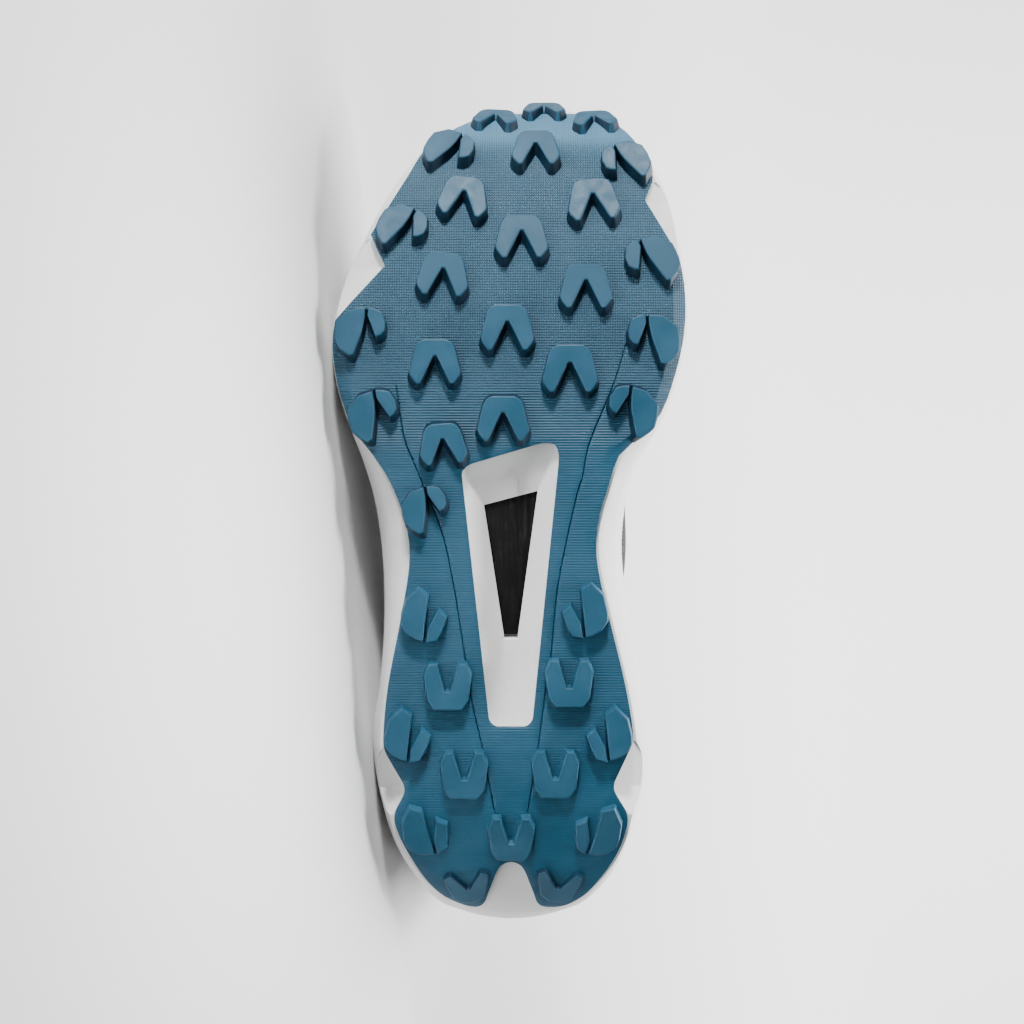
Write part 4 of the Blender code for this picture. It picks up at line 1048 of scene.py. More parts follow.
def lug_block(kind, t, outline, half_width, outward):
    """A drafted block on a flat floor, with rounded edges round its pad and down its corners."""
    pad = [(px * half_width, py * half_width) for px, py in outline]
    foot = offset_outline(pad, draft_of(kind, t, outward))
    turned = [(pad[j][0] - pad[j - 1][0]) * (foot[j][0] - foot[j - 1][0])
              + (pad[j][1] - pad[j - 1][1]) * (foot[j][1] - foot[j - 1][1]) < 0 for j in range(len(pad))]
    for j, crossed in enumerate(turned):
        if crossed:
            (ax, ay), (bx, by) = foot[j - 1], foot[j]
            mx, my = (ax + bx) / 2, (ay + by) / 2
            foot[j - 1] = mx + (bx - mx) * 0.1, my + (by - my) * 0.1
            foot[j] = mx + (ax - mx) * 0.1, my + (ay - my) * 0.1
    work = bmesh.new()
    rises = [LUG_HEIGHT * pad_rise(kind, t, py) for px, py in outline]
    top = [work.verts.new((x, y, z)) for (x, y), z in zip(pad, rises)]
    bottom = [work.verts.new((x, y, -LUG_ROOT)) for x, y in foot]
    work.faces.new(top)
    work.faces.new(list(reversed(bottom)))
    for j in range(len(pad)):
        work.faces.new((bottom[j - 1], bottom[j], top[j], top[j - 1]))
    bmesh.ops.recalc_face_normals(work, faces=work.faces)
    rims = [e for e in work.edges if all(v.co.z > 0 for v in e.verts)]
    corners = [e for e in work.edges if e.is_convex and len({v.co.z > 0 for v in e.verts}) == 2]
    bmesh.ops.bevel(
        work, geom=rims + corners, offset=LUG_EDGE, segments=2, profile=0.5, affect="EDGES",
        clamp_overlap=True,
    )
    for face in work.faces:
        # The sides of all but the heel's lugs take the painted-shade wall finish.
        face.material_index = 0 if face.normal.z > 0.55 or kind.startswith("heel") else 1
    return work


def placed_lugs(kind, t, offset, width, heading):
    """One lug's blocks, bent onto the tread: its feet follow the edge that turns up, its pad less."""
    x, y = t * LENGTH, offset * BALL_WIDTH
    turn = math.radians(heading)
    forward = math.cos(turn) > 0
    outer = math.copysign(1, -offset) * (1 if forward else -1)
    slope = (sole_height(x + 0.001, y) - sole_height(x - 0.001, y)) / 0.002
    shorten = 1 / math.hypot(1, slope)
    for leg in LUG_OUTLINES[kind]:
        outline = [(px * outer, py) for px, py in leg]
        work = lug_block(kind, t, outline, width * LUG_WIDTH / 2, -outer)
        for v in work.verts:
            side = v.co.x * math.cos(turn) + v.co.y * math.sin(turn)
            ahead = (v.co.y * math.cos(turn) - v.co.x * math.sin(turn)) * shorten
            share = min(1.0, max(0.0, v.co.z / LUG_HEIGHT))
            v.co = on_sole(x + ahead, y + side, v.co.z, 1.0 - 0.8 * share)
        yield work


def make_lugs():
    whole = bmesh.new()
    for row in zip(*LUGS.values()):
        for work in placed_lugs(*row):
            part = bpy.data.meshes.new("lug")
            work.to_mesh(part)
            work.free()
            whole.from_mesh(part)
            bpy.data.meshes.remove(part)
    bmesh.ops.recalc_face_normals(whole, faces=whole.faces)
    mesh = bpy.data.meshes.new("rubber_lugs")
    whole.to_mesh(mesh)
    whole.free()
    mesh.materials.append(SMOOTH)
    mesh.materials.append(WALLS)
    lugs = bpy.data.objects.new("rubber_lugs", mesh)
    PIECES.objects.link(lugs)
    return settle(lugs, "tread_rubber", "outsole", sharp=11)


make_lugs()

# %% [markdown]
# The foam is one moulding. It is lofted in rings: the underside against the rubber, a side that
# swells out and comes back in to a rim, and a cup inside that holds the upper and the footbed. Then
# the scoops behind the rubber's notches and the window's bevelled recess are cut with plain faceted
# bodies, which gives their crisp facets.

# %% The foam's heights and rings
FOOTBED_HEIGHT = 0.034
CUP_DEPTH = 0.0100
RIM_WALL = 0.0034
FOAM_MARGIN = 0.0010
STATIONS = 110
ACROSS_SHARES = [
    0.0, 0.02, 0.055, 0.11, 0.18, 0.26, 0.34, 0.42, 0.50,
    0.58, 0.66, 0.74, 0.82, 0.89, 0.945, 0.98, 1.0,
]
ACROSS = len(ACROSS_SHARES) - 1
END_CROWDING = 0.6
FOOTBED = table("station footbed cup", [
    (0.000, 1.04, 1.55), (0.060, 1.00, 1.40), (0.150, 0.98, 1.15), (0.300, 1.02, 1.05),
    (0.450, 0.99, 0.95), (0.600, 0.89, 0.75), (0.700, 0.84, 0.65), (0.790, 0.89, 0.62),
    (0.870, 1.03, 0.68), (0.930, 1.18, 0.75), (0.975, 1.30, 0.85),
])
# Share of the way up the side, and share of the way out to the widest edge
SIDE_PROFILE = table("share width", [
    (0.000, 0.00), (0.020, 0.14), (0.160, 0.62), (0.400, 1.00), (0.440, 1.00),
    (0.530, 0.86), (0.800, 0.42), (0.970, 0.04), (1.000, 0.00),
])


def footbed_height(x):
    return smooth(FOOTBED, "footbed", x / LENGTH) * FOOTBED_HEIGHT


def rim_height(x):
    return footbed_height(x) + smooth(FOOTBED, "cup", x / LENGTH) * CUP_DEPTH


def plan(edge, along, across, inset=0.0):
    """A point of a plan outline: along runs 0 to 1 from heel to toe, across 0 to 1 to medial."""
    first, last = edge["station"][0], edge["station"][-1]
    t = blend(first, last, along)
    x = blend(first * LENGTH + inset, last * LENGTH - inset, along)
    lateral = -smooth(edge, "lateral", t) * BALL_WIDTH + inset
    medial = smooth(edge, "medial", t) * BALL_WIDTH - inset
    bow = blend(0.0025, 0.0040, along) * (1 - (2 * across - 1) ** 2)
    x += bow * (max(0.0, along - 0.95) - max(0.0, 0.05 - along)) / 0.05
    return x, blend(lateral, medial, across)


ALONG = [
    u - END_CROWDING * math.sin(2 * math.pi * u) / (2 * math.pi)
    for u in (i / (STATIONS - 1) for i in range(STATIONS))
]
LOOP = (
    [(i, 0) for i in range(STATIONS)]
    + [(STATIONS - 1, k) for k in range(1, ACROSS)]
    + [(i, ACROSS) for i in reversed(range(STATIONS))]
    + [(0, k) for k in reversed(range(1, ACROSS))]
)


def bottom_point(along, across):
    x, y = plan(TREAD_EDGE, along, across, -FOAM_MARGIN)
    return on_sole(x, y, -RUBBER - GAP)


def side_point(along, across, share):
    """A point up the foam's side."""
    width = smooth(SIDE_PROFILE, "width", share, "share")
    low = bottom_point(along, across)
    rim_x, rim_y = plan(RIM_EDGE, along, across)
    wide_x, wide_y = plan(WIDEST_EDGE, along, across)
    upward = min(1.0, max(0.0, (share - 0.40) / 0.05))
    base = Vector((blend(low.x, rim_x, upward), blend(low.y, rim_y, upward)))
    spot = base.lerp(Vector((wide_x, wide_y)), width)
    return Vector((*spot, blend(low.z, rim_height(rim_x), share)))


rims = [round(rim_height(t * LENGTH) * 1000, 1) for t in (0.1, 0.45, 0.7)]
print("foam heights in mm at heel, arch and ball:", rims)

# %% Make the foam
SIDE_SHARES = [
    0.02, 0.06, 0.11, 0.16, 0.22, 0.28, 0.34, 0.40, 0.43,
    0.47, 0.53, 0.60, 0.67, 0.74, 0.81, 0.88, 0.93, 0.97,
]
INSERT_VIEW = table("station offset", [(0.347, -0.020), (0.347, 0.020), (0.520, 0.077), (0.503, -0.077)])
WINDOW_RAMP = table("station offset", [(0.252, -0.030), (0.252, 0.030)])
RAMP_END_DEPTH = 0.0022
WINDOW_DEPTH = 0.0065
INSERT = 0.0015


def hull(name, points):
    """The convex solid round some points."""
    work = bmesh.new()
    for p in points:
        work.verts.new(p)
    done = bmesh.ops.convex_hull(work, input=work.verts)
    spare = [g for g in done["geom_interior"] + done["geom_unused"] if isinstance(g, bmesh.types.BMVert)]
    bmesh.ops.delete(work, geom=list(set(spare)), context="VERTS")
    bmesh.ops.recalc_face_normals(work, faces=work.faces)
    mesh = bpy.data.meshes.new(name)
    work.to_mesh(mesh)
    work.free()
    mesh.materials.append(FOAM)
    return bpy.data.objects.new(name, mesh)


def prism(name, outline, low, high, finish=None):
    """A flat outline in plan raised from one height to another."""
    work = bmesh.new()
    face = work.faces.new([work.verts.new((x, y, low)) for x, y in outline])
    top = bmesh.ops.extrude_face_region(work, geom=[face])["geom"]
    raised = [g for g in top if isinstance(g, bmesh.types.BMVert)]
    bmesh.ops.translate(work, verts=raised, vec=(0, 0, high - low))
    bmesh.ops.recalc_face_normals(work, faces=work.faces)
    mesh = bpy.data.meshes.new(name)
    work.to_mesh(mesh)
    work.free()
    mesh.materials.append(finish or FOAM)
    return bpy.data.objects.new(name, mesh)


def scoop(side, start, tip, end, reach, rise):
    """The faceted hollow behind one notch of the rubber, as a cutter."""
    name = "medial" if side > 0 else "lateral"
    spots = [(t, smooth(TREAD_EDGE, name, t)) for t in (start, end)] + [(tip, reach)]
    corners = []
    for t, offset in spots:
        x, y = t * LENGTH, side * offset * BALL_WIDTH
        corners += [on_sole(x, y, -RUBBER - GAP), on_sole(x, y, 0.004)]
    past = side * (smooth(WIDEST_EDGE, name, tip) * BALL_WIDTH + 0.006)
    for t in (start, end):
        x = t * LENGTH
        corners.append(Vector((x, past, on_sole(x, corners[0].y, 0.004).z)))
    x = tip * LENGTH
    corners.append(Vector((x, past, on_sole(x, side * reach * BALL_WIDTH, 0).z + rise)))
    return hull("scoop", corners)


def window_recess():
    mouth = [on_sole(x, y, out) for x, y in WINDOW_OUTLINE for out in (0.001, -RUBBER - GAP)]
    throat = [on_sole(x, y, -RUBBER - WINDOW_DEPTH) for x, y in rounded(in_metres(INSERT_VIEW), 0.0008, 2)]
    ramp = [on_sole(x, y, -RUBBER - RAMP_END_DEPTH) for x, y in in_metres(WINDOW_RAMP)]
    return hull("window_recess", mouth + throat + ramp)


def ramp_step():
    """A short steep facet where the ramp comes down to the plate."""
    level = insert_level()
    x, half = INSERT_VIEW["station"][0] * LENGTH, -INSERT_VIEW["offset"][0] * BALL_WIDTH
    behind, deep = x - 0.0018, level - 0.005
    section = [(x, level + 0.0002), (behind, level - 0.0015), (behind, deep), (x, deep)]
    return hull("ramp_step", [(px, side * half, pz) for px, pz in section for side in (-1, 1)])


def insert_level():
    middle = sum(INSERT_VIEW["station"]) / 4 * LENGTH
    return sole_height(middle, 0.0) + RUBBER + WINDOW_DEPTH + 0.0012


def make_foam():
    skin = Skin()
    low = skin.grid([[bottom_point(u, f) for f in ACROSS_SHARES] for u in ALONG])
    rings = [[low[i][k] for i, k in LOOP]]
    for share in SIDE_SHARES:
        rings.append([skin.point(side_point(ALONG[i], ACROSS_SHARES[k], share)) for i, k in LOOP])
    for inset in (0.0003, 0.0010, RIM_WALL - 0.0006, RIM_WALL):
        drop = 0.0006 if inset in (0.0003, RIM_WALL) else 0.0
        ring = [plan(RIM_EDGE, ALONG[i], ACROSS_SHARES[k], inset) for i, k in LOOP]
        rings.append([skin.point((x, y, rim_height(x) - drop)) for x, y in ring])
    bed = [[plan(RIM_EDGE, u, f, RIM_WALL) for f in ACROSS_SHARES] for u in ALONG]
    bed = skin.grid([[(x, y, footbed_height(x)) for x, y in row] for row in bed])
    rings.append([bed[i][k] for i, k in LOOP])
    for below, above in zip(rings, rings[1:]):
        skin.strip(below, above)
    body = skin.build("foam_midsole", FOAM)
    guides = [cut(body, scoop(*row)) for row in zip(*NOTCHES.values())]
    guides.append(cut(body, window_recess()))
    level = insert_level()
    view = in_metres(INSERT_VIEW)
    guides.append(cut(body, prism("insert_neck", view, level - 0.004, level + 0.0002)))
    guides.append(cut(body, ramp_step()))
    wide = offset_outline(view, lambda nx, ny: 0.004)
    guides.append(cut(body, prism("insert_pocket", wide, level - GAP, level + INSERT + GAP)))
    return settle(body, "foam", "midsole", sharp=24, guides=guides)


make_foam()

# %% [markdown]
# The plate at the bottom of the window is a flat piece of stiff composite. It sits in a pocket of
# the foam, and only the part that the window shows is seen.

# %% Make the arch plate


def make_plate():
    level = insert_level()
    outline = offset_outline(in_metres(INSERT_VIEW), lambda nx, ny: 0.004 - GAP)
    body = prism("arch_plate", outline, level, level + INSERT, PLATE)
    PIECES.objects.link(body)
    edge = body.modifiers.new("edge", "BEVEL")
    edge.width = 0.0003
    edge.segments = 2
    return settle(body, "insert", "arch_insert")


make_plate()

# %% [markdown]
# The upper is one net of ribs. A rib starts in the foam's cup, swells over its edge and leans in to
# the opening, and its place round the shoe decides how: upright at the heel, far over at the toe.
# The same net carries everything that lies on the upper, each at its own distance out.

# %% The upper's net
COLLAR_HEIGHT = 0.100
UPPER_WALL = 0.0020
COLLAR_PAD = 0.0060
ARCH_SWELL = 0.0160
RIB_ROWS = 44
RIBS = table("way station offset height belly rise lean drop", [
    (0.00, 0.036, 0.000, 1.030, 0.030, 0.260, 0.05, 0.200),
    (0.06, 0.044, 0.135, 1.010, 0.030, 0.260, 0.05, 0.200),
    (0.12, 0.080, 0.225, 0.945, 0.030, 0.240, 0.10, 0.200),
    (0.20, 0.140, 0.270, 0.865, 0.026, 0.200, 0.15, 0.180),
    (0.28, 0.210, 0.282, 0.835, 0.026, 0.180, 0.20, 0.160),
    (0.36, 0.285, 0.262, 0.880, 0.030, 0.180, 0.30, 0.140),
    (0.43, 0.345, 0.205, 0.985, 0.036, 0.200, 0.42, 0.110),
    (0.49, 0.385, 0.150, 1.065, 0.042, 0.240, 0.50, 0.090),
    (0.57, 0.447, 0.132, 0.975, 0.042, 0.230, 0.52, 0.070),
    (0.66, 0.520, 0.120, 0.862, 0.040, 0.210, 0.54, 0.050),
    (0.75, 0.590, 0.108, 0.765, 0.034, 0.190, 0.54, 0.030),
    (0.84, 0.645, 0.086, 0.700, 0.028, 0.175, 0.52, 0.010),
    (0.92, 0.677, 0.050, 0.668, 0.024, 0.165, 0.48, 0.000),
    (1.00, 0.687, 0.000, 0.660, 0.022, 0.160, 0.45, 0.000),
])
TOE = STATIONS - 1 + ACROSS // 2
HEEL = len(LOOP) - ACROSS // 2


def seat(j):
    """Where the upper stands in the foam's cup."""
    i, k = LOOP[j % len(LOOP)]
    return Vector(plan(RIM_EDGE, ALONG[i], ACROSS_SHARES[k], RIM_WALL + GAP))


def ways():
    """How far round each column is, from the heel seam (0) to the toe (1), and its arc length."""
    way = [0.0] * len(LOOP)
    for step in (1, -1):
        line = [HEEL % len(LOOP)]
        while line[-1] != TOE:
            line.append((line[-1] + step) % len(LOOP))
        lengths = [(seat(a) - seat(b)).length for a, b in zip(line, line[1:])]
        gone = 0.0
        for number, length in zip(line[1:], lengths):
            gone += length
            way[number] = gone / sum(lengths)
    return way


WAYS = ways()


def instep_offset(t):
    return 0.022 * BALL_WIDTH * max(0.0, (t - 0.38) / 0.30)


def rib(j):
    x, y = seat(j)
    side = 1 if TOE < j <= HEEL else -1
    read = {name: smooth(RIBS, name, WAYS[j], "way") for name in RIBS}
    top_x = read["station"] * LENGTH
    top_y = instep_offset(read["station"]) + side * read["offset"] * BALL_WIDTH
    low = Vector((x, y, rim_height(x) + 0.0006))
    top = Vector((top_x, top_y, read["height"] * COLLAR_HEIGHT))
    run = seat(j + 1) - seat(j - 1)
    outward = Vector((run.y, -run.x, 0)).normalized()
    reach = Vector((low.x - top.x, low.y - top.y, 0))
    swell = ARCH_SWELL * math.exp(-(((x / LENGTH - 0.47) / 0.11) ** 2)) if side > 0 else 0.0
    up = Vector((0, 0, COLLAR_HEIGHT))
    hip = low + outward * (read["belly"] * BALL_WIDTH + swell) + up * read["rise"]
    shoulder = top + reach * read["lean"] + outward * swell * 0.4 - up * read["drop"]
    return low, hip, shoulder, top


def rib_points(j):
    low, hip, shoulder, top = rib(j)
    line = []
    for row in range(RIB_ROWS + 1):
        s = row / RIB_ROWS
        w = 1 - s
        line.append(low * w**3 + hip * 3 * w * w * s + shoulder * 3 * w * s * s + top * s**3)
    return line


def face_rows():
    return [[column[row] for column in COLUMNS] for row in range(RIB_ROWS + 1)]


COLUMNS = [rib_points(j) for j in range(len(LOOP))]
FACE = face_rows()


def outward_at(j, row):
    count = len(LOOP)
    run = FACE[row][(j + 1) % count] - FACE[row][j - 1]
    climb = FACE[min(row + 1, RIB_ROWS)][j] - FACE[max(row - 1, 0)][j]
    return run.cross(climb).normalized()


def out_rows():
    return [[outward_at(j, row) for j in range(len(LOOP))] for row in range(RIB_ROWS + 1)]


OUT = out_rows()


def net_of(j, row):
    """A point's net coordinate in metres: round the shoe, and up from the sole."""
    girth = 0.33
    side = 1 if TOE < j <= HEEL else -1
    up = sum((COLUMNS[j][n + 1] - COLUMNS[j][n]).length for n in range(row))
    return side * WAYS[j] * girth, up


NETS = [[net_of(j, row) for j in range(len(LOOP))] for row in range(RIB_ROWS + 1)]
print("columns:", len(LOOP), "rows:", RIB_ROWS)
print("highest point in mm:", round(max(p.z for p in FACE[-1]) * 1000, 1))

# %% [markdown]
# Knit shoes take a few soft creases: across the toes' joint, where the upper folds at each step, and slanting
# down from the collar, where the ankle bends. The photograph doesn't show them, so their places are guesses.
# Each is a trough with a low ridge on both sides, placed in the shoe's own sizes. The net itself is moved, so
# all that lies on it follows.

# %% Crease the knit
CREASES = table("station curl slant width depth", [
    (0.752, 0.055, 0.00, 0.0060, 0.0013), (0.716, 0.065, 0.00, 0.0052, 0.0011),
    (0.350, 0.000, 0.60, 0.0072, 0.0012), (0.285, 0.000, 0.55, 0.0060, 0.0008),
])
CREASE_RIDGE = 0.75


def crease_relief(p, up, way):
    """How far the knit stands out (above 0) or sinks at one point of the net."""
    relief = 0.0
    for station, curl, slant, width, depth in zip(*CREASES.values()):
        middle = (station - curl * (2 * p.y / BALL_WIDTH) ** 2) * LENGTH + slant * (p.z - COLLAR_HEIGHT / 2)
        q = (p.x - middle) / width
        relief -= depth * (1 - CREASE_RIDGE * q * q) * math.exp(-q * q)
    foot = min(1.0, max(0.0, (up - 0.12) / 0.28))
    toe_ward = min(1.0, max(0.0, (way - 0.82) / 0.12))
    top = blend(min(1.0, (1 - up) / 0.25), 1.0, toe_ward)
    return relief * foot * foot * (3 - 2 * foot) * top


for column, outs, way in zip(COLUMNS, zip(*OUT), WAYS):
    for row in range(RIB_ROWS + 1):
        column[row] = column[row] + outs[row] * crease_relief(column[row], row / RIB_ROWS, way)
FACE = face_rows()
OUT = out_rows()
print("creases:", len(CREASES["station"]))

# %% [markdown]
# The wall is turned over at its top edge, as knit is: the outer face runs up, rolls over a rounded
# rim and comes down inside as lining. Towards the heel the roll thickens into a padded collar.

# %% Make the upper


def pad_share(j, row):
    """How far the wall is padded at one point: only near the collar."""
    low = 0.42
    up = min(1.0, max(0.0, (row / RIB_ROWS - low) / (1 - low)))
    return up * max(0.0, min(1.0, (0.46 - WAYS[j]) / 0.12))


def wall_at(j, row):
    return blend(UPPER_WALL, COLLAR_PAD, pad_share(j, row) ** 1.3)


def eyelet_columns():
    sides = []
    for step in (-1, 1):
        column = [(TOE + step * n) % len(LOOP) for n in range(1, len(LOOP) // 2)]
        wanted = [blend(0.82, 0.52, n / (EYELET_COUNT - 1)) for n in range(EYELET_COUNT)]
        sides.append([min(column, key=lambda j, w=w: abs(WAYS[j] - w)) for w in wanted])
    return sides


EYELET_COUNT = 6
EYELET_RADIUS = 0.0022
EYELET_ROW = RIB_ROWS - round(RIB_ROWS * 0.0875)


def eyelet_place(j):
    return FACE[EYELET_ROW][j], OUT[EYELET_ROW][j]


EYELETS = [[eyelet_place(j) for j in column] for column in eyelet_columns()]


def drill(name, deep):
    """A row of round cutters through all the eyelets."""
    work = bmesh.new()
    for column in EYELETS:
        for centre, out in column:
            turned = out.to_track_quat("Z", "Y").to_matrix().to_4x4()
            bmesh.ops.create_cone(
                work, cap_ends=True, segments=20, radius1=EYELET_RADIUS, radius2=EYELET_RADIUS,
                depth=deep, matrix=Matrix.Translation(centre) @ turned,
            )
    mesh = bpy.data.meshes.new(name)
    work.to_mesh(mesh)
    work.free()
    mesh.materials.append(FILM)
    return bpy.data.objects.new(name, mesh)


def make_upper():
    skin = Skin()
    count = len(LOOP)
    columns = range(count)
    hem = [(*seat(j), footbed_height(seat(j).x) + GAP) for j in columns]
    rings = [([skin.point(p, (NETS[0][j][0], -0.01)) for j, p in enumerate(hem)], 0)]
    for row in range(RIB_ROWS + 1):
        rings.append(([skin.point(FACE[row][j], NETS[row][j]) for j in columns], 0))
    for n in range(1, 7):
        angle = math.pi * n / 7
        ring = []
        for j in columns:
            half = wall_at(j, RIB_ROWS) / 2
            edge, out = FACE[-1][j], OUT[-1][j]
            climb = (FACE[-1][j] - FACE[-2][j]).normalized()
            spot = edge - out * half + out * half * math.cos(angle) + climb * half * math.sin(angle) * 0.8
            ring.append(skin.point(spot, (NETS[-1][j][0], NETS[-1][j][1] + half * angle)))
        rings.append((ring, 1 if n > 4 else 0))
    for row in reversed(range(RIB_ROWS + 1)):
        ring = [skin.point(FACE[row][j] - OUT[row][j] * wall_at(j, row), NETS[row][j]) for j in columns]
        rings.append((ring, 1))
    inner_hem = [
        Vector(p) - Vector((OUT[0][j].x, OUT[0][j].y, 0)).normalized() * UPPER_WALL
        for j, p in enumerate(hem)
    ]
    rings.append(([skin.point(p, (NETS[0][j][0], -0.01)) for j, p in enumerate(inner_hem)], 1))
    for (below, _), (above, finish) in zip(rings, rings[1:]):
        skin.strip(below, above, finish=finish)
    skin.strip(rings[-1][0], rings[0][0], finish=1)
    upper = skin.build("knit_upper", KNIT, LINING)
    guide = cut(upper, drill("eyelet_holes", 0.010))
    return settle(upper, "knit", "upper", sharp=50, guides=[guide])


make_upper()

# %% [markdown]
# Films are welded over the knit where a trail shoe is scraped: a toe cap, a heel counter, and a
# stay round the throat that carries the eyelets. Each is a patch of the net, a little over the
# knit and about 1 mm thick at most, and thins to a quarter at its edge.

# %% Films on the upper
OVERLAY = 0.0010
COUNTER = 0.0011
FILM_GAP = GAP * 0.5


def patch(name, columns, low_of, high_of, thick, rows=18):
    """A film over some columns, between a lower and an upper share of each rib."""
    skin = Skin()

    def spot(j, share, out):
        at = share * RIB_ROWS
        row = min(int(at), RIB_ROWS - 1)
        p = blend(FACE[row][j], FACE[row + 1][j], at - row)
        n = blend(OUT[row][j], OUT[row + 1][j], at - row).normalized()
        return p + n * out

    outer, inner = [], []
    count = len(columns)
    for c, j in enumerate(columns):
        low, high = low_of(WAYS[j]), high_of(WAYS[j])
        ends = min(1.0, min(c, count - 1 - c) / 2.0)
        line, back = [], []
        for n in range(rows + 1):
            share = blend(low, high, n / rows)
            edge = min(1.0, min(n, rows - n) / 1.5) * ends
            line.append(spot(j, share, FILM_GAP + thick * (0.25 + 0.75 * math.sqrt(edge))))
            back.append(spot(j, share, FILM_GAP))
        outer.append(line)
        inner.append(back)
    nets = [[(c * 0.003, n * 0.002) for n in range(rows + 1)] for c in range(count)]
    top = skin.grid(outer, nets=nets)
    bottom = skin.grid(inner, nets=nets)
    for at in (0, -1):
        skin.strip([line[at] for line in top], [line[at] for line in bottom], closed=False)
        skin.strip(top[at], bottom[at], closed=False)
    return skin.build(name, FILM)


def span_round(middle, limit):
    """The columns on both sides of one, as far as a test holds."""
    reach = 0
    while limit(WAYS[(middle + reach + 1) % len(LOOP)]):
        reach += 1
    return [(middle + n) % len(LOOP) for n in range(-reach, reach + 1)]


def steady(low, high, way, start, end):
    share = min(1.0, max(0.0, (way - start) / (end - start)))
    return blend(low, high, share * share * (3 - 2 * share))


settle(
    patch("film_toe_cap", span_round(TOE, lambda w: w > 0.80), lambda w: 0.10,
          lambda w: steady(0.16, 0.46, w, 0.80, 0.96), OVERLAY),
    "film", "toe_cap",
)
settle(
    patch("film_heel_counter", span_round(HEEL, lambda w: w < 0.15), lambda w: 0.10,
          lambda w: steady(0.58, 0.30, w, 0.0, 0.15), COUNTER),
    "film", "heel_counter",
)
STAY = patch("film_eyestay", span_round(TOE, lambda w: w > 0.485), lambda w: steady(0.80, 0.86, w, 0.80, 1.0),
             lambda w: 0.985, 0.0006, rows=10)
stay_guide = cut(STAY, drill("stay_holes", 0.012))
settle(STAY, "film", sharp=50, guides=[stay_guide])

# %% [markdown]
# Each eyelet is punched through film and knit and has a thin rolled ring, so that its edge doesn't
# fray. A ring is a torus turned to the film's own direction.

# %% Eyelet rings


def make_rings():
    whole = bmesh.new()
    wide, fine = 24, 8
    for column in EYELETS:
        for centre, out in column:
            aim = out.to_track_quat("Z", "Y").to_matrix().to_4x4()
            turned = Matrix.Translation(centre + out * 0.0007) @ aim
            rings = []
            for a in range(wide):
                turn = 2 * math.pi * a / wide
                ring = []
                for b in range(fine):
                    roll = 2 * math.pi * b / fine
                    r = EYELET_RADIUS + 0.00045 + 0.00045 * math.cos(roll)
                    spot = Vector((r * math.cos(turn), r * math.sin(turn), 0.00040 * math.sin(roll)))
                    ring.append(whole.verts.new(turned @ spot))
                rings.append(ring)
            for a in range(wide):
                for b in range(fine):
                    c, d = (a + 1) % wide, (b + 1) % fine
                    whole.faces.new((rings[a][b], rings[c][b], rings[c][d], rings[a][d]))
    bmesh.ops.recalc_face_normals(whole, faces=whole.faces)
    mesh = bpy.data.meshes.new("eyelet_rings")
    whole.to_mesh(mesh)
    whole.free()
    mesh.materials.append(THREAD)
    body = bpy.data.objects.new("eyelet_rings", mesh)
    PIECES.objects.link(body)
    return settle(body, "film", sharp=60)


make_rings()

# %% [markdown]
# The insole is a cloth-topped foam sheet on the footbed. It follows the footbed's height along the
# shoe, is flat across, and has a chamfered edge.

# %% Make the insole
INSOLE = 0.0045
INSOLE_CLEAR = 0.0009


def make_insole():
    skin = Skin()
    inset = RIM_WALL + GAP + UPPER_WALL + INSOLE_CLEAR
    layers = []
    for lift, extra in ((GAP, 0.0), (INSOLE * 0.6, 0.0), (INSOLE, 0.0007)):
        rows = [[plan(RIM_EDGE, u, f, inset + extra) for f in ACROSS_SHARES] for u in ALONG]
        layers.append([[(x, y, footbed_height(x) + lift) for x, y in row] for row in rows])
    bottom = skin.grid(layers[0], nets=[[(p[0], p[1]) for p in row] for row in layers[0]])
    top = skin.grid(layers[2], nets=[[(p[0], p[1]) for p in row] for row in layers[2]])
    middle = [skin.point(layers[1][i][k]) for i, k in LOOP]
    skin.strip([bottom[i][k] for i, k in LOOP], middle)
    skin.strip(middle, [top[i][k] for i, k in LOOP])
    body = skin.build("cloth_insole", LINING)
    return settle(body, "insole_cloth", "insole", sharp=50)


INSOLE_BODY = make_insole()

# %% [markdown]
# The tongue is a padded strip that follows the throat from inside and stands out past the collar.
# It is drawn as cross lines between the two sides of the net, then closed as a flat pillow that
# thins to about a third at its edges.

# %% Make the tongue
TONGUE = 0.0040
TONGUE_CLEAR = 0.0013
TONGUE_RISE = 0.0240
TONGUE_LIFT = 0.0060
TONGUE_FINE = 16


def under(j, row):
    return FACE[row][j] - OUT[row][j] * (UPPER_WALL + TONGUE_CLEAR)


def tongue_lines():
    """Seven points across the tongue at each of its stations, from the toe's end up."""
    low = RIB_ROWS - RIB_ROWS // 8
    first = ACROSS // 2
    lines = [[under(TOE + n * (first // 3 or 1), low) for n in range(-3, 4)]]
    n = first
    while WAYS[TOE - n] > 0.49:
        lateral, medial = ((under(j, low), under(j, RIB_ROWS)) for j in (TOE - n, TOE + n))
        bridge = [blend(lateral[1], medial[1], share) for share in (0.25, 0.5, 0.75)]
        lines.append([*lateral, *bridge, *reversed(medial)])
        n += 4
    last = lines[-1]
    on = (last[3] - lines[-2][3]).normalized()
    last = [blend(last[1], last[0], 0.1), *last[1:-1], blend(last[-2], last[-1], 0.1)]
    for step, narrow in ((0.30, 0.80), (0.45, 1.00), (0.25, 0.84)):
        middle = last[3]
        moved = [middle + (p - middle) * narrow for p in last]
        last = [p + on * TONGUE_RISE * step + Vector((0, 0, TONGUE_LIFT * step)) for p in moved]
        lines.append(last)
    return lines


def curve_through(points, count):
    """Evenly spread points on a smooth curve through some others."""
    line = []
    for n in range(count + 1):
        at = n / count * (len(points) - 1)
        i = min(int(at), len(points) - 2)
        line.append(curve_point(points, i, at - i))
    return line


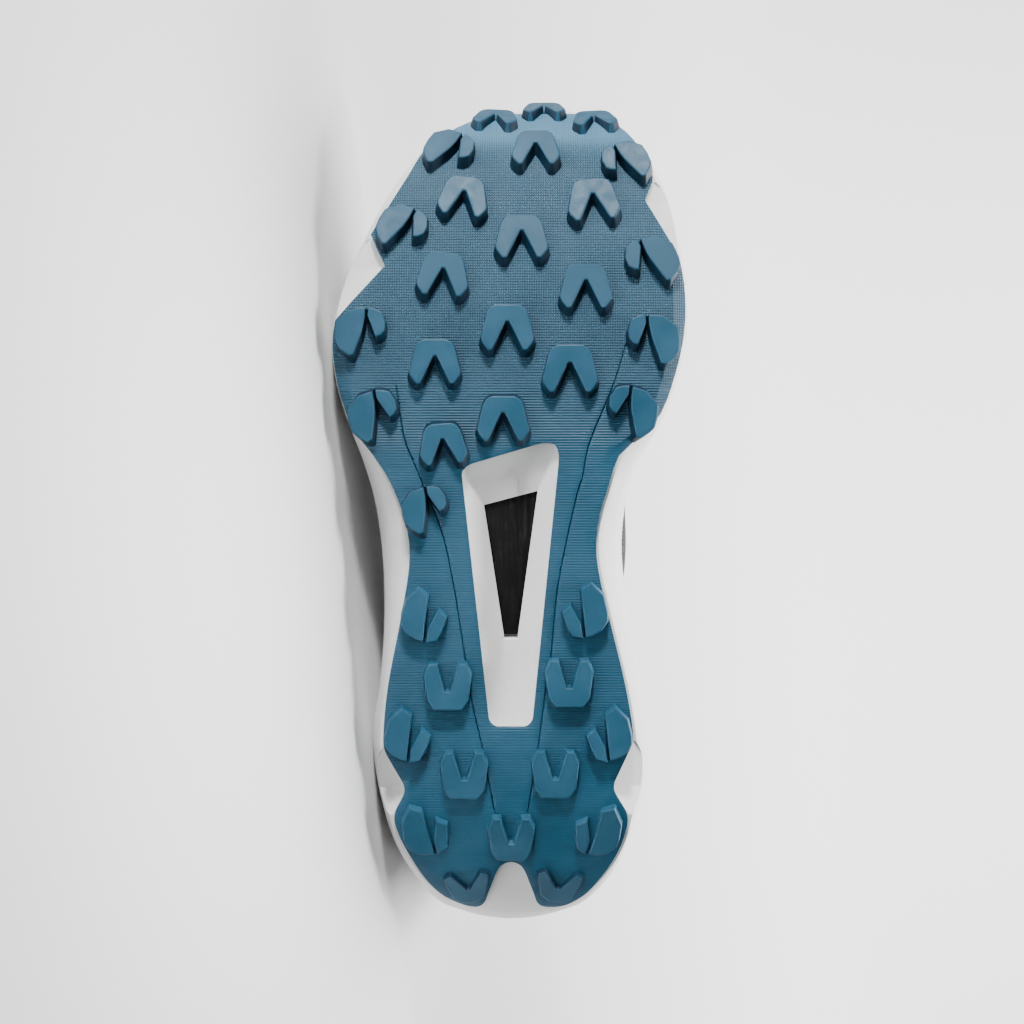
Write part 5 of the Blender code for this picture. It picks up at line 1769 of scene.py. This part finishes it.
def make_tongue():
    lines = tongue_lines()
    shaped = []
    for number, line in enumerate(lines):
        run = lines[min(number + 1, len(lines) - 1)][3] - lines[max(number - 1, 0)][3]
        lift = run.cross(Vector((0, 1, 0))).normalized()
        lift = lift if lift.z > 0 else -lift
        span = (line[-2] - line[1]).length
        crown = [0, 0, 0.09, 0.12, 0.09, 0, 0] if number > 1 else [-0.02] * 7
        shaped.append([p + lift * share * span for p, share in zip(line, crown)])
    across = [curve_through(line, TONGUE_FINE) for line in shaped]
    columns = [curve_through([line[k] for line in across], 60) for k in range(TONGUE_FINE + 1)]
    rows = [[columns[k][n] for k in range(TONGUE_FINE + 1)] for n in range(61)]
    skin = Skin()
    outer, inner = [], []
    for n, row in enumerate(rows):
        front, back = [], []
        for k, p in enumerate(row):
            run = rows[min(n + 1, 60)][k] - rows[max(n - 1, 0)][k]
            over = row[min(k + 1, TONGUE_FINE)] - row[max(k - 1, 0)]
            out = run.cross(over).normalized()
            out = out if out.z > 0 else -out
            side = min(1.0, min(k, TONGUE_FINE - k) / 2.0)
            end = min(1.0, min(n, 60 - n) / 2.0)
            puff = math.sqrt(max(side * end, 0.0))
            quilt = 0.00035 * math.cos(2 * math.pi * n / 12) * puff
            middle = p - out * TONGUE * 0.5
            front.append(middle + out * (TONGUE * 0.5 * blend(0.3, 1.0, puff) - 0.0002 + min(quilt, 0)))
            back.append(middle - out * (TONGUE * 0.5 * blend(0.3, 1.0, puff)))
        outer.append(front)
        inner.append(back)
    nets = [[((k - TONGUE_FINE / 2) * 0.0028, n * 0.0022) for k in range(TONGUE_FINE + 1)] for n in range(61)]
    front = skin.grid(outer, 0, nets)
    back = skin.grid(inner, 1, nets)
    for at in (0, -1):
        skin.strip([row[at] for row in front], [row[at] for row in back], closed=False)
        skin.strip(front[at], back[at], closed=False)
    body = skin.build("padded_tongue", KNIT, LINING)
    return settle(body, "knit", "tongue", sharp=60)


TONGUE_BODY = make_tongue()

# %% [markdown]
# Each crossing of the lace comes up through one eyelet, lies across the tongue and goes down
# through the other side. It is a flat oval, woven, and turns with the surface that it crosses. The
# short runs behind the knit can't be seen and aren't made.

# %% Make the lace
LACE_SEAT = 0.0012
LACE_ARCH = 0.0040
LACE_SIDES = 10
LACE_STEPS = 44
LACE_HALF_WIDE = 0.0021
LACE_HALF_THICK = 0.0009


def lace_path(start, end):
    """Up through one eyelet, over, and down through another."""
    (a, up_a), (b, up_b) = start, end
    arch = ((up_a + up_b) * 0.5).normalized() * LACE_ARCH
    top_a, top_b = a + up_a * LACE_SEAT, b + up_b * LACE_SEAT
    lead = (top_b - top_a).normalized()
    line = [a - up_a * 0.0032, a - up_a * 0.0008]
    for n in range(9):
        share = n / 8
        line.append(blend(top_a, top_b, share) + arch * (1 - (2 * share - 1) ** 2))
    line[2] = line[2] + lead * 0.0006
    line[-1] = line[-1] - lead * 0.0006
    return line + [b - up_b * 0.0008, b - up_b * 0.0032]


def ribbon(skin, points, up_of):
    """An oval band along some points."""
    line = curve_through(points, LACE_STEPS)
    rings = []
    gone = 0.0
    for n, p in enumerate(line):
        run = (line[min(n + 1, LACE_STEPS)] - line[max(n - 1, 0)]).normalized()
        up = up_of(n / LACE_STEPS)
        across = run.cross(up).normalized()
        up = across.cross(run).normalized()
        gone += (p - line[n - 1]).length if n else 0.0
        squeeze = blend(0.55, 1.0, min(1.0, min(n, LACE_STEPS - n) / 9.0))
        ring = []
        for s in range(LACE_SIDES):
            turn = 2 * math.pi * s / LACE_SIDES
            spot = p + across * math.cos(turn) * LACE_HALF_WIDE * squeeze
            spot += up * math.sin(turn) * LACE_HALF_THICK
            ring.append(skin.point(spot, (gone, s * 0.0009)))
        rings.append(ring)
    for below, above in zip(rings, rings[1:]):
        skin.strip(below, above)
    skin.face(tuple(reversed(rings[0])))
    skin.face(tuple(rings[-1]))


def make_lace():
    lateral, medial = EYELETS
    pairs = [(lateral[0], medial[0], 0.0)]
    for n in range(EYELET_COUNT - 1):
        pairs += [(lateral[n], medial[n + 1], 0.0004), (medial[n], lateral[n + 1], -0.0004)]
    skin = Skin()
    for start, end, layer in pairs:
        path = lace_path(start, end)
        middle = ((start[1] + end[1]) * 0.5).normalized()
        count = len(path) - 1
        path = [p + middle * layer * math.sin(math.pi * n / count) for n, p in enumerate(path)]
        ribbon(skin, path, lambda w, a=start[1], b=end[1]: a.lerp(b, w))
    return settle(skin.build("flat_lace", LACE), "cord", "lace", sharp=60)


make_lace()

# %% [markdown]
# Two rows of stitches run round the collar, below its roll. Each stitch is a small rounded bead
# that lies along its row, and all of them are one mesh.

# %% Stitches
STITCH_PITCH = 0.0032
STITCH_HALF_LONG = 0.0011
STITCH_HALF_ROUND = 0.00032
STITCH_ROWS = (9, 10)


def stitch_row(skin, spots, outs):
    """Beads along a line of points."""
    for p, q, out in zip(spots, spots[1:], outs):
        run = (q - p).normalized()
        across = run.cross(out).normalized()
        rings = []
        for end, size in ((-1, 0.3), (-0.6, 0.9), (0.6, 0.9), (1, 0.3)):
            ring = []
            for s in range(6):
                turn = math.pi * s / 3
                side = (across * math.cos(turn) + out * math.sin(turn)) * STITCH_HALF_ROUND * size
                spot = p + run * end * STITCH_HALF_LONG + side + out * STITCH_HALF_ROUND * 0.3
                ring.append(skin.point(spot))
            rings.append(ring)
        for below, above in zip(rings, rings[1:]):
            skin.strip(below, above)
        skin.face(tuple(reversed(rings[0])))
        skin.face(tuple(rings[-1]))


def along_columns(columns, row):
    """Evenly spaced spots along one row of the net."""
    spots, outs = [], []
    left = 0.0
    for a, b in zip(columns, columns[1:]):
        p, q = FACE[row][a], FACE[row][b]
        long = (q - p).length
        at = left
        while at < long:
            out = OUT[row][a].lerp(OUT[row][b], at / long).normalized()
            spots.append(p.lerp(q, at / long))
            outs.append(out)
            at += STITCH_PITCH
        left = at - long
    return spots, outs


def make_stitches():
    skin = Skin()
    collar = span_round(HEEL, lambda w: w < 0.48)
    for below in STITCH_ROWS:
        stitch_row(skin, *along_columns(collar, RIB_ROWS - below))
    return settle(skin.build("collar_stitches", THREAD), "cord", sharp=60)


make_stitches()

# %% [markdown]
